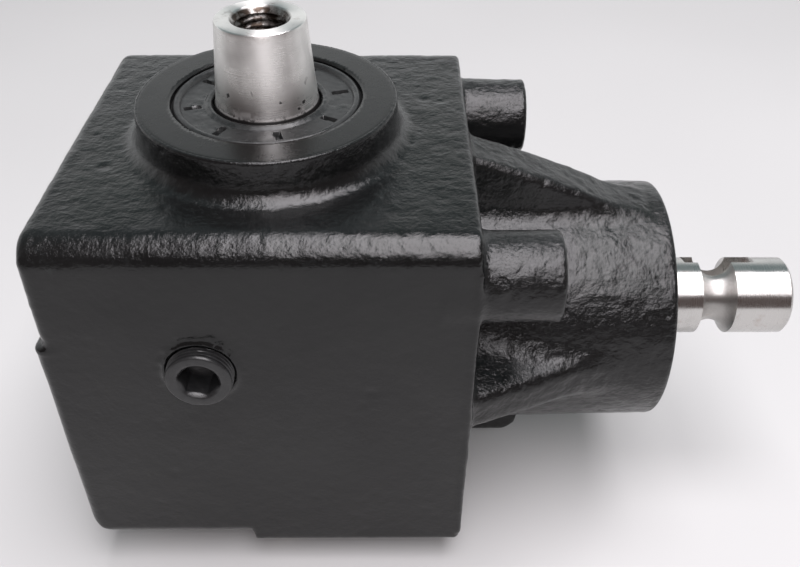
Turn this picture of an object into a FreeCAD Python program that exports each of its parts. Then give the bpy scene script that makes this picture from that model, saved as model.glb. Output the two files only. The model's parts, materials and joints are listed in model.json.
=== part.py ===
import FreeCAD, Part
import math
import os

V = FreeCAD.Vector

# ---------------------------------------------------------------------------
# Right angle bevel gearbox, millimetres.
# Frame: origin at the centre of the resting face under the bottom cover, on
# the output shaft's axis. +Z is the output shaft, upwards; +X is the input
# shaft, outwards. The two shaft axes meet at (0, 0, H_IN).
# ---------------------------------------------------------------------------

# casting
H_IN = 67.5            # height of the input shaft's axis
BOX_HX = 58.8          # half width of the box along X
BOX_HY = 58.4          # half width of the box along Y
BOX_Z0 = 11.0          # underside of the box (machined for the cover)
BOX_Z1 = H_IN + 62.5   # top of the box
BOX_DRAFT = 1.1        # how much the sides come in at the bottom
WALL = 8.0             # side and top walls
FLOOR_T = 12.0         # bottom wall, which takes the cover bolts
R_TOP = 8.5            # rounding of the front and back top edges
R_SIDE = 2.0           # rounding of the right top edge; the left one is 1 mm more
R_VERT = 2.8           # rounding of the upright edges
R_BOT = 2.5            # rounding of the bottom edges
LEFT_SKEW = 3.4        # the left wall runs in by this much towards the back
LEFT_STEP = 2.2        # and stands out by this much below the parting line
PART_LINE = 28.5       # height of that line above the input axis

BOSS_Z = H_IN + 74.06  # machined top of the output boss
BOSS_R = 37.2          # its radius at the top
BOSS_R0 = 38.4         # its radius above the base fillet
BOSS_FIL = 4.6         # base fillet
INNER_BOSS_R = 35.0    # boss inside the box round the upper bearing
INNER_BOSS_Z = H_IN + 43.0

NOSE_X = 121.0         # machined end of the input nose
NOSE_R = 38.8          # radius at its end
NOSE_R0 = 39.8         # radius at its base
NOSE_DROP = 0.7        # the cast outside sits this much below the bored axis
NOSE_FIL = 3.0
# four ribs round the nose, each a straight slope from the box wall down to the nose:
# angle from +Z, height at the wall, X where it runs out, half width at the crest, growth of the half width per mm down
RIBS = ((0, 59.8, 109.0, 7.6, 0.10),
        (90, 57.3, 99.0, 5.4, 0.40),
        (180, 56.2, 99.0, 5.4, 0.40),
        (270, 57.3, 99.0, 5.4, 0.40))
LUG_Y = 45.0           # two round mounting lugs beside the nose, axis +X
LUG_Z = H_IN + 43.4
LUG_R = 12.4
LUG_X = 81.0
FOOT_W = 20.0          # square lug under the nose, flush with the box's underside
FOOT_R = 8.5
LUG_TAP_R = 5.1        # M12 tapping size
LUG_TAP_L = 24.0

# bottom cover
OPEN_R = 38.4          # opening the gear and shaft go in through
COVER_FIT = 0.05
COVER_R = 49.5         # flange
COVER_T = 5.0
GASKET_T = 0.5
HUB_R = 38.0           # the round pad the gearbox stands on
BOLT_PCR = 43.5        # cover bolt circle radius
BOLT_N = 6
M6_TAP_R = 2.5
M6_CLR_R = 3.3

# gears: straight bevel, apex at the crossing of the shafts
MOD = 3.0
T_GEAR = 24
T_PIN = 17
PRESS_DEG = 20.0
FACE_W = 14.0
BACKLASH = 0.10        # each member's teeth are this much thinner

# output shaft
OS_R_LOW = 12.5
OS_R_GEAR = 15.0
OS_R_MID = 17.0
OS_R_TOP = 15.0
OS_Z_BOT = 6.5
OS_Z_GEAR = 21.75
OS_Z_MID = H_IN - 15.5
OS_Z_BRG = H_IN + 44.5
TAPER_Z0 = H_IN + 73.7
TAPER_R0 = 14.62
TAPER_Z1 = H_IN + 97.4
TAPER_R1 = 12.62
OS_TAP_R = 7.0         # M16 tapping size
OS_TAP_L = 23.0

# input shaft
IS_R_PIN = 10.0
IS_R_BRG = 15.0
IS_R_COL = 19.0
IS_R = 12.7            # 1 inch shaft extension
IS_X0 = 18.6
IS_X_PIN = 50.0
IS_X_COL0 = 76.5
IS_X_COL1 = 93.25
IS_X_STEP = 120.0
IS_X1 = 167.0
GROOVE_X = 142.8       # half-round locking groove
GROOVE_W = 11.1
GROOVE_D = 4.5
KEY_W = 6.35           # Woodruff keyseat, 25.4 mm cutter
KEY_X = 144.5
KEY_CUT_R = 12.7
KEY_DEPTH = 7.95
KEY_ROT = 21.0         # turned from +Z towards +Y

# bearings: bore, outside diameter, overall width, cone width, cup width
BRG_UP = (30.0, 55.0, 17.0, 17.0, 13.0, 1.75, 18)
BRG_LOW = (25.0, 52.0, 16.25, 15.0, 13.0, 2.0, 16)
BRG_IN = (30.0, 62.0, 17.25, 16.0, 14.0, 2.0, 16)
UP_CUP_BACK = H_IN + 61.5
LOW_CUP_BACK = 5.5
IN_CUP_BACK = 59.25
OUT_CUP_BACK = 110.5
ROLL_CLR = 0.03

# seals
SEAL_T = 7.0
OUT_SEAL_Z0 = H_IN + 66.5
IN_SEAL_X0 = 113.4
LIP_CLR = 0.04

# oil plug, M18
PLUG_X = -16.5
PLUG_Z = H_IN + 20.8
PLUG_TIP = -62.6       # outer face
PLUG_END = -49.6       # inner end
PLUG_RC = 9.2          # thread crest
PLUG_RR = 8.2          # thread root
PLUG_AF = 10.0


# --------------------------------------------------------------------------- helpers
def revolve(pts, axis=V(0, 0, 1), origin=V(0, 0, 0)):
    """Solid of revolution of an (r, z) outline about +Z; entries may be ('arc', (r,z), (r,z))."""
    edges = []
    cur = V(pts[0][0], 0, pts[0][1])
    first = cur
    for p in pts[1:]:
        if p[0] == "arc":
            m, e = V(p[1][0], 0, p[1][1]), V(p[2][0], 0, p[2][1])
            edges.append(Part.Arc(cur, m, e).toShape())
            cur = e
        else:
            e = V(p[0], 0, p[1])
            edges.append(Part.LineSegment(cur, e).toShape())
            cur = e
    if (cur - first).Length > 1e-7:
        edges.append(Part.LineSegment(cur, first).toShape())
    face = Part.Face(Part.Wire(edges))
    return face.revolve(V(0, 0, 0), V(0, 0, 1), 360)


def place(shape, origin, direction):
    """Moves a shape made about +Z so that its +Z lies along direction from origin."""
    s = shape.copy()
    rot = FreeCAD.Rotation(V(0, 0, 1), V(*direction))
    s.Placement = FreeCAD.Placement(V(*origin), rot).multiply(s.Placement)
    return s


def cyl(r, length, origin, direction):
    return Part.makeCylinder(r, length, V(*origin), V(*direction))


def prism(pts, vec):
    w = Part.makePolygon([V(*p) for p in pts] + [V(*pts[0])])
    return Part.Face(w).extrude(V(*vec))


def rounded_outline(pts, radii):
    """Closed planar outline with each corner rounded by its own radius."""
    n = len(pts)
    P = [V(*p) for p in pts]
    edges = []
    starts, ends, mids = [], [], []
    for i in range(n):
        a, b, c = P[i - 1], P[i], P[(i + 1) % n]
        u, w = (a - b).normalize(), (c - b).normalize()
        ang = math.acos(max(-1, min(1, u.dot(w))))
        r = radii[i]
        t = r / math.tan(ang / 2)
        s, e = b + u * t, b + w * t
        bis = (u + w).normalize()
        centre = b + bis * (r / math.sin(ang / 2))
        starts.append(s)
        ends.append(e)
        mids.append(centre - bis * r)
    for i in range(n):
        edges.append(Part.Arc(starts[i], mids[i], ends[i]).toShape())
        nxt = (i + 1) % n
        if (starts[nxt] - ends[i]).Length > 1e-6:
            edges.append(Part.LineSegment(ends[i], starts[nxt]).toShape())
    return Part.Face(Part.Wire(edges))


def one(shape):
    """The single solid of a boolean's result."""
    s = shape.removeSplitter() if shape.Solids else shape
    if len(s.Solids) != 1:
        raise RuntimeError("expected one solid, got %d" % len(s.Solids))
    return s.Solids[0]


# --------------------------------------------------------------------------- housing
def make_housing():
    # outer skin of the box: three rounded outlines crossed with each other
    hx, hy, d = BOX_HX, BOX_HY, BOX_DRAFT
    zx = rounded_outline(
        [(-hx + 6.2, -80, BOX_Z0), (hx - d, -80, BOX_Z0), (hx, -80, BOX_Z1), (-hx, -80, BOX_Z1), (-hx + d, -80, BOX_Z0 + 8.5)],
        [3.0, R_BOT, R_SIDE, R_SIDE + 1.0, 3.0]).extrude(V(0, 160, 0))
    zy = rounded_outline(
        [(-80, -hy + d, BOX_Z0), (-80, hy - d, BOX_Z0), (-80, hy, BOX_Z1), (-80, -hy, BOX_Z1)],
        [R_BOT, R_BOT, R_TOP, R_TOP]).extrude(V(160, 0, 0))
    xy = rounded_outline(
        [(-hx, -hy, 0), (hx, -hy, 0), (hx, hy, 0), (-hx + LEFT_SKEW, hy, 0)],
        [R_VERT + 1, R_VERT, R_VERT, R_VERT + 1]).extrude(V(0, 0, 150))
    box = zx.common(zy).common(xy)
    # below the mould's parting line the left wall stands out a little
    zl, e = H_IN + PART_LINE, LEFT_STEP
    step = rounded_outline([(-hx - e + 6.4, -80, BOX_Z0), (-20, -80, BOX_Z0), (-20, -80, zl), (-hx - e, -80, zl), (-hx - e + d, -80, BOX_Z0 + 8.5)],
                           [3.0, 1.0, 1.0, 1.2, 3.0]).extrude(V(0, 160, 0))
    plan = rounded_outline([(-hx - e, -hy, 0), (10, -hy, 0), (10, hy, 0), (-hx - e + LEFT_SKEW, hy, 0)],
                           [R_VERT + 1, 1, 1, R_VERT + 1]).extrude(V(0, 0, 150))
    box = box.fuse(step.common(zy).common(plan)).removeSplitter()

    # output boss with its base fillet
    z0 = BOX_Z1
    f = BOSS_FIL
    c = math.sqrt(0.5)
    boss = revolve([(0, z0 - 6), (BOSS_R0 + f, z0 - 6), (BOSS_R0 + f, z0),
                    ("arc", (BOSS_R0 + f - f * c, z0 + f - f * c), (BOSS_R0, z0 + f)),
                    (BOSS_R, BOSS_Z - 0.8), (BOSS_R - 0.8, BOSS_Z), (0, BOSS_Z)])

    # input nose, revolved about +X through the shaft crossing
    x0 = BOX_HX
    f = NOSE_FIL
    nose = revolve([(0, x0 - 6), (NOSE_R0 + f, x0 - 6), (NOSE_R0 + f, x0),
                    ("arc", (NOSE_R0 + f - f * c, x0 + f - f * c), (NOSE_R0, x0 + f)),
                    (NOSE_R, NOSE_X - 1.0), (NOSE_R - 1.0, NOSE_X), (0, NOSE_X)])
    nose = place(nose, (0, 0, H_IN - NOSE_DROP), (1, 0, 0))

    # four ribs between the nose and the box wall: a sloping crest and drafted flanks
    ribs = []
    for ang, tall, end, w_top, grow in RIBS:
        side = prism([(55, -30, 20), (55, -30, tall), (end, -30, 39.0), (end, -30, 36.0)], (0, 60, 0))
        w_low = w_top + grow * (tall - 40.0)
        wedge = prism([(50, -w_top, tall + 1), (50, w_top, tall + 1), (50, w_low, 40.0), (50, w_low, 15.0),
                       (50, -w_low, 15.0), (50, -w_low, 40.0)], (end - 49, 0, 0))
        rib = side.common(wedge).Solids[0]
        try:
            crest = [ed for ed in rib.Edges
                     if ed.Length > 30 and min(v.Point.z for v in ed.Vertexes) > 38.5]
            soft = rib.makeFillet(2.2, crest)
            if not soft.isNull() and soft.isValid() and soft.Solids:
                rib = soft.Solids[0]
        except Exception:
            pass
        rib.rotate(V(0, 0, 0), V(1, 0, 0), ang)
        rib.translate(V(0, 0, H_IN))
        ribs.append(rib)

    # two mounting lugs
    lugs = []
    for s in (-1, 1):
        lug = revolve([(0, BOX_HX - 5), (LUG_R, BOX_HX - 5), (LUG_R, LUG_X - 1.0), (LUG_R - 1.0, LUG_X), (0, LUG_X)])
        lug = place(lug, (0, s * LUG_Y, LUG_Z), (1, 0, 0))
        lugs.append(lug)
        # a web of metal joins each lug to the nose
        web = prism([(BOX_HX - 3, s * 36.0, LUG_Z - 5), (BOX_HX - 3, s * 22.0, LUG_Z - 17),
                     (BOX_HX - 3, s * 30.0, LUG_Z - 22), (BOX_HX - 3, s * 46.0, LUG_Z - 10)], (LUG_X - 2 - (BOX_HX - 3), 0, 0))
        lugs.append(web)
    # square lug under the nose: outline along X crossed with its rounded section
    foot = rounded_outline([(50, -30, BOX_Z0), (LUG_X, -30, BOX_Z0), (LUG_X, -30, H_IN - 32), (50, -30, H_IN - 32)],
                           [1, FOOT_R, 1, 1]).extrude(V(0, 60, 0))
    sect = rounded_outline([(50, -FOOT_W / 2, BOX_Z0), (50, FOOT_W / 2, BOX_Z0), (50, FOOT_W / 2, H_IN - 30), (50, -FOOT_W / 2, H_IN - 30)],
                           [2.5, 2.5, 1, 1]).extrude(V(40, 0, 0))
    lugs.append(foot.common(sect).Solids[0])

    # the front bottom edge is relieved over its left part
    relief = prism([(-hx - 4, -hy - 2, BOX_Z0 - 2), (-hx - 4, -hy - 2, BOX_Z0 + 8.5), (-hx - 4, -hy + 0.8, BOX_Z0 + 5.5),
                    (-hx - 4, -hy + 6.0, BOX_Z0 - 2)], (hx + 4 - 8.5, 0, 0))
    box = box.cut(relief)

    # casting: everything fused
    body = box.fuse([boss, nose] + ribs + lugs)

    # inside: the gear chamber, with rounded upright corners
    iz0, iz1 = BOX_Z0 + FLOOR_T, BOX_Z1 - WALL
    ix, iy = BOX_HX - WALL, BOX_HY - WALL
    room = rounded_outline([(-ix, -iy, iz0), (ix, -iy, iz0), (ix, iy, iz0), (-ix, iy, iz0)],
                           [8, 8, 8, 8]).extrude(V(0, 0, iz1 - iz0))
    inner_boss = revolve([(0, INNER_BOSS_Z), (INNER_BOSS_R - 1.5, INNER_BOSS_Z), (INNER_BOSS_R, INNER_BOSS_Z + 1.5),
                          (INNER_BOSS_R, iz1 + 1), (0, iz1 + 1)])
    room = room.cut(inner_boss)
    body = body.cut(room)

    # bores on the output axis, with the opening for the cover below
    up_r = BRG_UP[1] / 2
    bores = [
        revolve([(0, INNER_BOSS_Z - 1), (up_r, INNER_BOSS_Z - 1), (up_r, UP_CUP_BACK), (24.5, UP_CUP_BACK),
                 (24.5, OUT_SEAL_Z0 - 0.2), (up_r, OUT_SEAL_Z0 - 0.2), (up_r, BOSS_Z - 0.7), (up_r + 0.7, BOSS_Z),
                 (up_r + 0.7, BOSS_Z + 1), (0, BOSS_Z + 1)]),
        revolve([(0, BOX_Z0 - 1), (OPEN_R + 0.6, BOX_Z0 - 1), (OPEN_R + 0.6, BOX_Z0), (OPEN_R, BOX_Z0 + 0.6),
                 (OPEN_R, BOX_Z0 + FLOOR_T + 1), (0, BOX_Z0 + FLOOR_T + 1)]),
    ]
    # bores on the input axis: pinion clearance, bearing bore, ring groove
    in_r = BRG_IN[1] / 2
    bores.append(place(revolve([(0, ix - 2), (28.6, ix - 2), (28.6, IN_CUP_BACK), (in_r, IN_CUP_BACK), (in_r, 111.0),
                                (in_r + 1.6, 111.0), (in_r + 1.6, 113.0), (in_r, 113.0),
                                (in_r, NOSE_X - 0.8), (in_r + 0.8, NOSE_X), (in_r + 0.8, NOSE_X + 1), (0, NOSE_X + 1)]),
                       (0, 0, H_IN), (1, 0, 0)))
    # tapped holes in the lugs, blind, with drill points
    for s in (-1, 1):
        bores.append(place(revolve([(0, LUG_X - LUG_TAP_L - 3), (LUG_TAP_R, LUG_X - LUG_TAP_L), (LUG_TAP_R, LUG_X - 1.2),
                                    (LUG_TAP_R + 1.2, LUG_X), (LUG_TAP_R + 1.2, LUG_X + 2), (0, LUG_X + 2)]),
                           (0, s * LUG_Y, LUG_Z), (1, 0, 0)))
    # tapped holes for the cover bolts
    for i in range(BOLT_N):
        a = math.radians(30 + 360.0 * i / BOLT_N)
        bores.append(revolve([(0, BOX_Z0 - 1), (M6_TAP_R, BOX_Z0 - 1), (M6_TAP_R, BOX_Z0 + 10), (0, BOX_Z0 + 11.4)]))
        bores[-1].translate(V(BOLT_PCR * math.cos(a), BOLT_PCR * math.sin(a), 0))
    # tapped hole for the oil plug
    bores.append(cyl(PLUG_RR, 14, (PLUG_X, -BOX_HY - 3, PLUG_Z), (0, 1, 0)))
    body = body.cut(bores)
    return one(body)


# --------------------------------------------------------------------------- bottom cover group
def bolt_spots():
    return [(BOLT_PCR * math.cos(math.radians(30 + 360.0 * i / BOLT_N)),
             BOLT_PCR * math.sin(math.radians(30 + 360.0 * i / BOLT_N))) for i in range(BOLT_N)]


FL_TOP = BOX_Z0 - GASKET_T
FL_BOT = FL_TOP - COVER_T
WASHER_T = 1.0
HEAD_H = 4.0


def make_cover():
    low_r = BRG_LOW[1] / 2
    body = revolve([(0, 0), (HUB_R - 1.2, 0), (HUB_R, 1.2), (HUB_R, FL_BOT), (COVER_R - 0.8, FL_BOT),
                    (COVER_R, FL_BOT + 0.8), (COVER_R, FL_TOP), (OPEN_R - COVER_FIT, FL_TOP),
                    (OPEN_R - COVER_FIT, OS_Z_GEAR - 1.0), (OPEN_R - COVER_FIT - 1.0, OS_Z_GEAR),
                    (low_r, OS_Z_GEAR), (low_r, LOW_CUP_BACK), (18.0, LOW_CUP_BACK),
                    (18.0, LOW_CUP_BACK - 1.0), (0, LOW_CUP_BACK - 1.0)])
    cuts = [cyl(M6_CLR_R, 20, (x, y, -2), (0, 0, 1)) for x, y in bolt_spots()]
    # flats let the bolt heads sit close to the hub
    for x, y in bolt_spots():
        cuts.append(cyl(7.2, FL_BOT + 1, (x, y, -1), (0, 0, 1)))
    return one(body.cut(cuts))


def make_gasket():
    ring = revolve([(OPEN_R, FL_TOP), (COVER_R, FL_TOP), (COVER_R, BOX_Z0), (OPEN_R, BOX_Z0)])
    return one(ring.cut([cyl(M6_CLR_R, 20, (x, y, -2), (0, 0, 1)) for x, y in bolt_spots()]))


def make_cover_bolts():
    out = []
    top = FL_BOT - WASHER_T
    for x, y in bolt_spots():
        rc = 5.0 / math.cos(math.radians(30))
        hexa = prism([(rc * math.cos(math.radians(60 * k)), rc * math.sin(math.radians(60 * k)), top - HEAD_H)
                      for k in range(6)], (0, 0, HEAD_H))
        dome = revolve([(0, top - HEAD_H), (4.6, top - HEAD_H), (rc + 0.1, top - HEAD_H + 0.9), (rc + 0.1, top), (0, top)])
        head = hexa.common(dome)
        shank = revolve([(0, top - 1), (M6_TAP_R, top - 1), (M6_TAP_R, BOX_Z0 + 8.4), (M6_TAP_R - 0.8, BOX_Z0 + 9.2), (0, BOX_Z0 + 9.2)])
        b = one(head.fuse(shank))
        b.translate(V(x, y, 0))
        out.append(b)
    return Part.makeCompound(out)


def make_washers():
    out = []
    for x, y in bolt_spots():
        w = revolve([(M6_TAP_R + 0.7, FL_BOT - WASHER_T), (6.0, FL_BOT - WASHER_T), (6.0, FL_BOT), (M6_TAP_R + 0.7, FL_BOT)])
        w.translate(V(x, y, 0))
        out.append(w)
    return Part.makeCompound(out)


# --------------------------------------------------------------------------- oil plug
def make_plug():
    n = 2
    pitch = 1.7
    z_face = 0.0
    pts = [(0, z_face), (7.4, z_face), (8.2, 0.9)]
    z = 0.9
    for _ in range(n):
        pts += [(PLUG_RC, z + pitch * 0.38), (PLUG_RC, z + pitch * 0.54), (PLUG_RR, z + pitch * 0.92), (PLUG_RR, z + pitch)]
        z += pitch
    total = PLUG_END - PLUG_TIP
    pts += [(PLUG_RR, total - 0.8), (PLUG_RR - 0.8, total), (0, total)]
    body = revolve(pts)
    rc = PLUG_AF / 2 / math.cos(math.radians(30))
    hexa = prism([(rc * math.cos(math.radians(60 * k + 12)), rc * math.sin(math.radians(60 * k + 12)), -1) for k in range(6)],
                 (0, 0, 8.8))
    mouth = revolve([(0, -1), (5.9, -1), (5.9, 0), (4.9, 1.3), (0, 1.3)])
    drill = revolve([(0, 8), (3.6, 8), (3.6, 8.6), (0, 10.4)])
    body = one(body.cut([hexa, mouth, drill]))
    return place(body, (PLUG_X, PLUG_TIP, PLUG_Z), (0, 1, 0))


# --------------------------------------------------------------------------- taper roller bearings
def taper_bearing(spec, zc_frac=0.5):
    """Cup, cone, rollers and cage about +Z: cup back face at z=0, cone back face at z=T."""
    d, D, T, B, C, nu_deg, n = spec
    beta, nu = math.radians(12.0), math.radians(nu_deg)
    Rm = (d + D) / 4.0
    zc = T * zc_frac
    za = zc - Rm / math.tan(beta)
    L = Rm / math.sin(beta)
    Lr = T * 0.60
    r_of = lambda s: (L + s) * math.tan(nu)        # roller radius at distance s from its middle
    race_o = lambda z: (z - za) * math.tan(beta + nu)
    race_i = lambda z: (z - za) * math.tan(beta - nu)

    cup = revolve([(race_o(0) + 0.6, 0), (D / 2 - 1.0, 0), (D / 2, 1.0), (D / 2, C - 0.5), (D / 2 - 0.5, C),
                   (race_o(C), C), (race_o(0.6), 0.6)])
    z1 = zc - Lr / 2 * math.cos(beta) - 0.15
    z2 = zc + Lr / 2 * math.cos(beta) + r_of(Lr / 2) * math.sin(beta) + 0.12
    cone = revolve([(d / 2, T - B), (race_i(z1) + 1.0, T - B), (race_i(z1) + 1.0, z1), (race_i(z1), z1), (race_i(z2), z2),
                    (race_i(z2) + 1.9, z2), (race_i(z2) + 1.9, T - 0.8), (race_i(z2) + 1.1, T), (d / 2, T)])

    def roller(extra_r, extra_l):
        s0, s1 = -Lr / 2 - extra_l, Lr / 2 + extra_l
        ra, rb = r_of(s0) - ROLL_CLR + extra_r, r_of(s1) - ROLL_CLR + extra_r
        e = 0.35 if extra_r == 0 else 0.0
        if e:
            b = revolve([(0, s0), (ra - e, s0), (ra, s0 + e), (rb, s1 - e), (rb - e, s1), (0, s1)])
        else:
            b = revolve([(0, s0), (ra, s0), (rb, s1), (0, s1)])
        b.rotate(V(0, 0, 0), V(0, 1, 0), math.degrees(beta))
        b.translate(V(Rm, 0, zc))
        return b

    rollers, pockets = [], []
    base, big = roller(0, 0), roller(0.22, 0.25)
    for i in range(n):
        a = 360.0 * i / n
        r1, r2 = base.copy(), big.copy()
        r1.rotate(V(0, 0, 0), V(0, 0, 1), a)
        r2.rotate(V(0, 0, 0), V(0, 0, 1), a)
        rollers.append(r1)
        pockets.append(r2)
    # pressed cage: a thin cone just outside the rollers' axes, with a pocket for each roller
    q = 0.48 * r_of(0)
    t = 0.9
    ax = (math.sin(beta), math.cos(beta))
    nn = (math.cos(beta), -math.sin(beta))

    def cp(s, off):
        return (Rm + ax[0] * s + nn[0] * off, zc + ax[1] * s + nn[1] * off)
    s0, s1 = -Lr / 2 - 1.5, Lr / 2 + 1.2
    cage = revolve([cp(s0, q), cp(s0, q + t), cp(s1, q + t), cp(s1, q)])
    # in-turned rim at the small end
    rim = revolve([cp(s0, q - 1.2), cp(s0, q + t), cp(s0 + 0.9, q + t), cp(s0 + 0.9, q - 1.2)])
    cage = cage.fuse(rim).cut(pockets)
    cage = one(cage)
    return cup, cone, Part.makeCompound(rollers), cage


# --------------------------------------------------------------------------- seals
def shaft_seal(D, d, drains=0, start_deg=14.0):
    """Rubber-covered lip seal about +Z, its outer face at z = SEAL_T."""
    R, r = D / 2, d / 2 + LIP_CLR
    top = SEAL_T
    body = revolve([(R, 0.6), (R, top - 0.5), (R - 0.5, top), (R - 3.6, top), (R - 4.0, top - 0.8),
                    (r + 2.6, top - 0.8), (r + 2.2, top - 0.1), (r + 0.7, top - 0.1), (r + 0.35, top - 0.6),
                    (r + 1.0, 5.2), (r, 3.3), (r + 0.9, 1.6), (r + 2.9, 1.4), (r + 3.0, 2.6), (r + 1.9, 4.0),
                    (R - 3.4, 4.0), (R - 3.0, 0.0), (R - 0.6, 0.0)])
    spring = Part.makeTorus(r + 2.75, 0.75, V(0, 0, 3.05))
    body = body.cut(spring)
    cuts = []
    for i in range(drains):
        b = Part.makeBox(5.2, 3.0, 2.0, V(r + 3.6, -1.5, top - 0.8 - 1.2))
        b.rotate(V(0, 0, 0), V(0, 0, 1), start_deg + 360.0 * i / drains)
        cuts.append(b)
    if cuts:
        body = body.cut(cuts)
    solids = sorted(body.Solids, key=lambda s: -s.Volume)
    return one(solids[0]), spring


# --------------------------------------------------------------------------- rings
def ring_with_ears(r_in, r_out, t, inward, ear_r, gap_deg):
    """Retaining ring about +Z, z 0..t, with two eared ends either side of the gap at +X."""
    if inward:      # sits in a bore: ears point inwards
        ecc = revolve([(r_in, 0), (r_out, 0), (r_out, t), (r_in, t)])
        er = r_in - ear_r * 0.35
    else:
        ecc = revolve([(r_in, 0), (r_out, 0), (r_out, t), (r_in, t)])
        er = r_out - ear_r * 0.2
    a = math.radians(gap_deg)
    far = r_out * 3
    wedge = prism([(0, 0, -1), (far * math.cos(a), far * math.sin(a), -1), (far * 1.2, 0, -1),
                   (far * math.cos(a), -far * math.sin(a), -1)], (0, 0, t + 2))
    ring = ecc.cut(wedge)
    ears, holes = [], []
    ea = a + math.asin(min(0.9, ear_r / er))
    for s in (-1, 1):
        c = (er * math.cos(ea), s * er * math.sin(ea))
        ears.append(cyl(ear_r, t, (c[0], c[1], 0), (0, 0, 1)))
        holes.append(cyl(ear_r * 0.45, t + 2, (c[0], c[1], -1), (0, 0, 1)))
    ring = ring.fuse(ears).cut(holes)
    if inward:
        limit = revolve([(0, 0), (r_out, 0), (r_out, t), (0, t)])
        ring = ring.common(limit)
    else:
        ring = ring.cut(cyl(r_in, t + 2, (0, 0, -1), (0, 0, 1)))
    return one(ring)


# --------------------------------------------------------------------------- bevel gears
DELTA_G = math.atan2(T_GEAR, T_PIN)
DELTA_P = math.pi / 2 - DELTA_G
AO = MOD * T_GEAR / 2 / math.sin(DELTA_G)   # cone distance
AI = AO - FACE_W


def tooth_rays(teeth, delta, phase):
    """Unit rays from the apex (axis +Z) round the whole tooth outline, spherical involute flanks."""
    alpha = math.radians(PRESS_DEG)
    db = math.asin(math.sin(delta) * math.cos(alpha))
    da = delta + math.atan(MOD / AO)
    df = delta - math.atan(1.2 * MOD / AO)
    phi = lambda psi: psi / math.sin(db) - math.atan2(math.tan(psi), math.sin(db))
    psi_at = lambda th: math.acos(max(-1.0, min(1.0, math.cos(th) / math.cos(db)))) if th > db else 0.0
    hp = math.pi / (2 * teeth) - BACKLASH / 2 / (AO * math.sin(delta))
    half = lambda th: hp + phi(psi_at(delta)) - phi(psi_at(th))
    lo = max(df, db)
    flank = [(df, half(lo) + 0.10 * (math.pi / teeth))] if df < db else [(df, half(df) + 0.04 * (math.pi / teeth))]
    k = 6
    for i in range(k + 1):
        th = lo + (da - lo) * i / k
        if i == 0:
            th = lo + (da - lo) * 0.03
        flank.append((th, half(th)))
    rays = []
    for t in range(teeth):
        c = phase + 2 * math.pi * t / teeth
        pts = [(th, c - h) for th, h in flank] + [(th, c + h) for th, h in reversed(flank)]
        rays += pts
    return [(math.sin(th) * math.cos(az), math.sin(th) * math.sin(az), math.cos(th)) for th, az in rays]


def tooth_block(rays, z0, z1):
    """Polyhedron of the tooth outline between the planes z=z0 and z=z1, every flank strip a plane through the apex."""
    A = [V(u[0] * z0 / u[2], u[1] * z0 / u[2], z0) for u in rays]
    B = [V(u[0] * z1 / u[2], u[1] * z1 / u[2], z1) for u in rays]
    n = len(rays)
    faces = [Part.Face(Part.makePolygon(A + [A[0]])), Part.Face(Part.makePolygon(B + [B[0]]))]
    for i in range(n):
        j = (i + 1) % n
        faces.append(Part.Face(Part.makePolygon([A[i], A[j], B[j], B[i], A[i]])))
    shell = Part.makeShell(faces)
    s = Part.makeSolid(shell)
    if s.Volume < 0:
        s.reverse()
    return s


def along(dist, delta, off):
    """(r, z) at a cone distance along the pitch line, off outwards along the back cone."""
    return (dist * math.sin(delta) + off * math.cos(delta), dist * math.cos(delta) - off * math.sin(delta))


def on_front(r, delta):
    """z on the front cone at radius r."""
    p = along(AI, delta, 0)
    return p[1] + (p[0] - r) * math.tan(delta)


def make_gear():
    rays = tooth_rays(T_GEAR, DELTA_G, math.pi / T_GEAR)
    back_z = H_IN - OS_Z_GEAR
    front_z = H_IN - OS_Z_MID
    mi = MOD * AI / AO
    back = along(AO, DELTA_G, -5.2)
    hub_f, hub_b = 19.5, 22.0
    blank = revolve([(OS_R_GEAR, front_z), (hub_f, front_z), (hub_f, on_front(hub_f, DELTA_G)),
                     along(AI, DELTA_G, mi + 1.0), along(AO, DELTA_G, MOD + 1.4), back,
                     (hub_b + 3, back[1] + 0.8), (hub_b, back[1] + 3.2), (hub_b, back_z - 0.8), (hub_b - 0.8, back_z),
                     (OS_R_GEAR, back_z)])
    gear = blank.common(tooth_block(rays, front_z - 1.0, back_z + 1.0))
    # keyway for an 8 mm key; it lies on the +Y side once the gear is turned over
    gear = gear.cut(Part.makeBox(8.0, 6.0, 60, V(-4.0, -(OS_R_GEAR - 2.7) - 6.0, 5)))
    gear = one(gear)
    # made about +Z away from the apex; turned over so that it lies below the crossing
    gear.rotate(V(0, 0, 0), V(1, 0, 0), 180)
    gear.translate(V(0, 0, H_IN))
    return gear


def make_pinion():
    # a tooth faces the gear, on the -Z side of the pinion
    rays = tooth_rays(T_PIN, DELTA_P, 0.0)
    mi = MOD * AI / AO
    front, hub_f, hub_b = 21.0, 14.4, 21.0
    back = along(AO, DELTA_P, -5.2)
    blank = revolve([(IS_R_PIN, front), (hub_f, front), (hub_f, on_front(hub_f, DELTA_P)),
                     along(AI, DELTA_P, mi + 1.0), along(AO, DELTA_P, MOD + 1.4), back,
                     (hub_b, back[1] + 1.0), (hub_b, IS_X_PIN - 0.8), (hub_b - 0.8, IS_X_PIN), (IS_R_PIN, IS_X_PIN)])
    pin = blank.common(tooth_block(rays, front - 1.0, IS_X_PIN + 1.0))
    pin = pin.cut(Part.makeBox(6.0, 5.0, 40, V(-3.0, IS_R_PIN - 2.2, 15)))
    pin = one(pin)
    # local +X (a tooth centre) to -Z, local +Z to +X, local +Y stays
    m = FreeCAD.Matrix(0, 0, 1, 0,
                       0, 1, 0, 0,
                       -1, 0, 0, 0,
                       0, 0, 0, 1)
    pin.Placement = FreeCAD.Placement(m).multiply(pin.Placement)
    pin.translate(V(0, 0, H_IN))
    return pin


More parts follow.
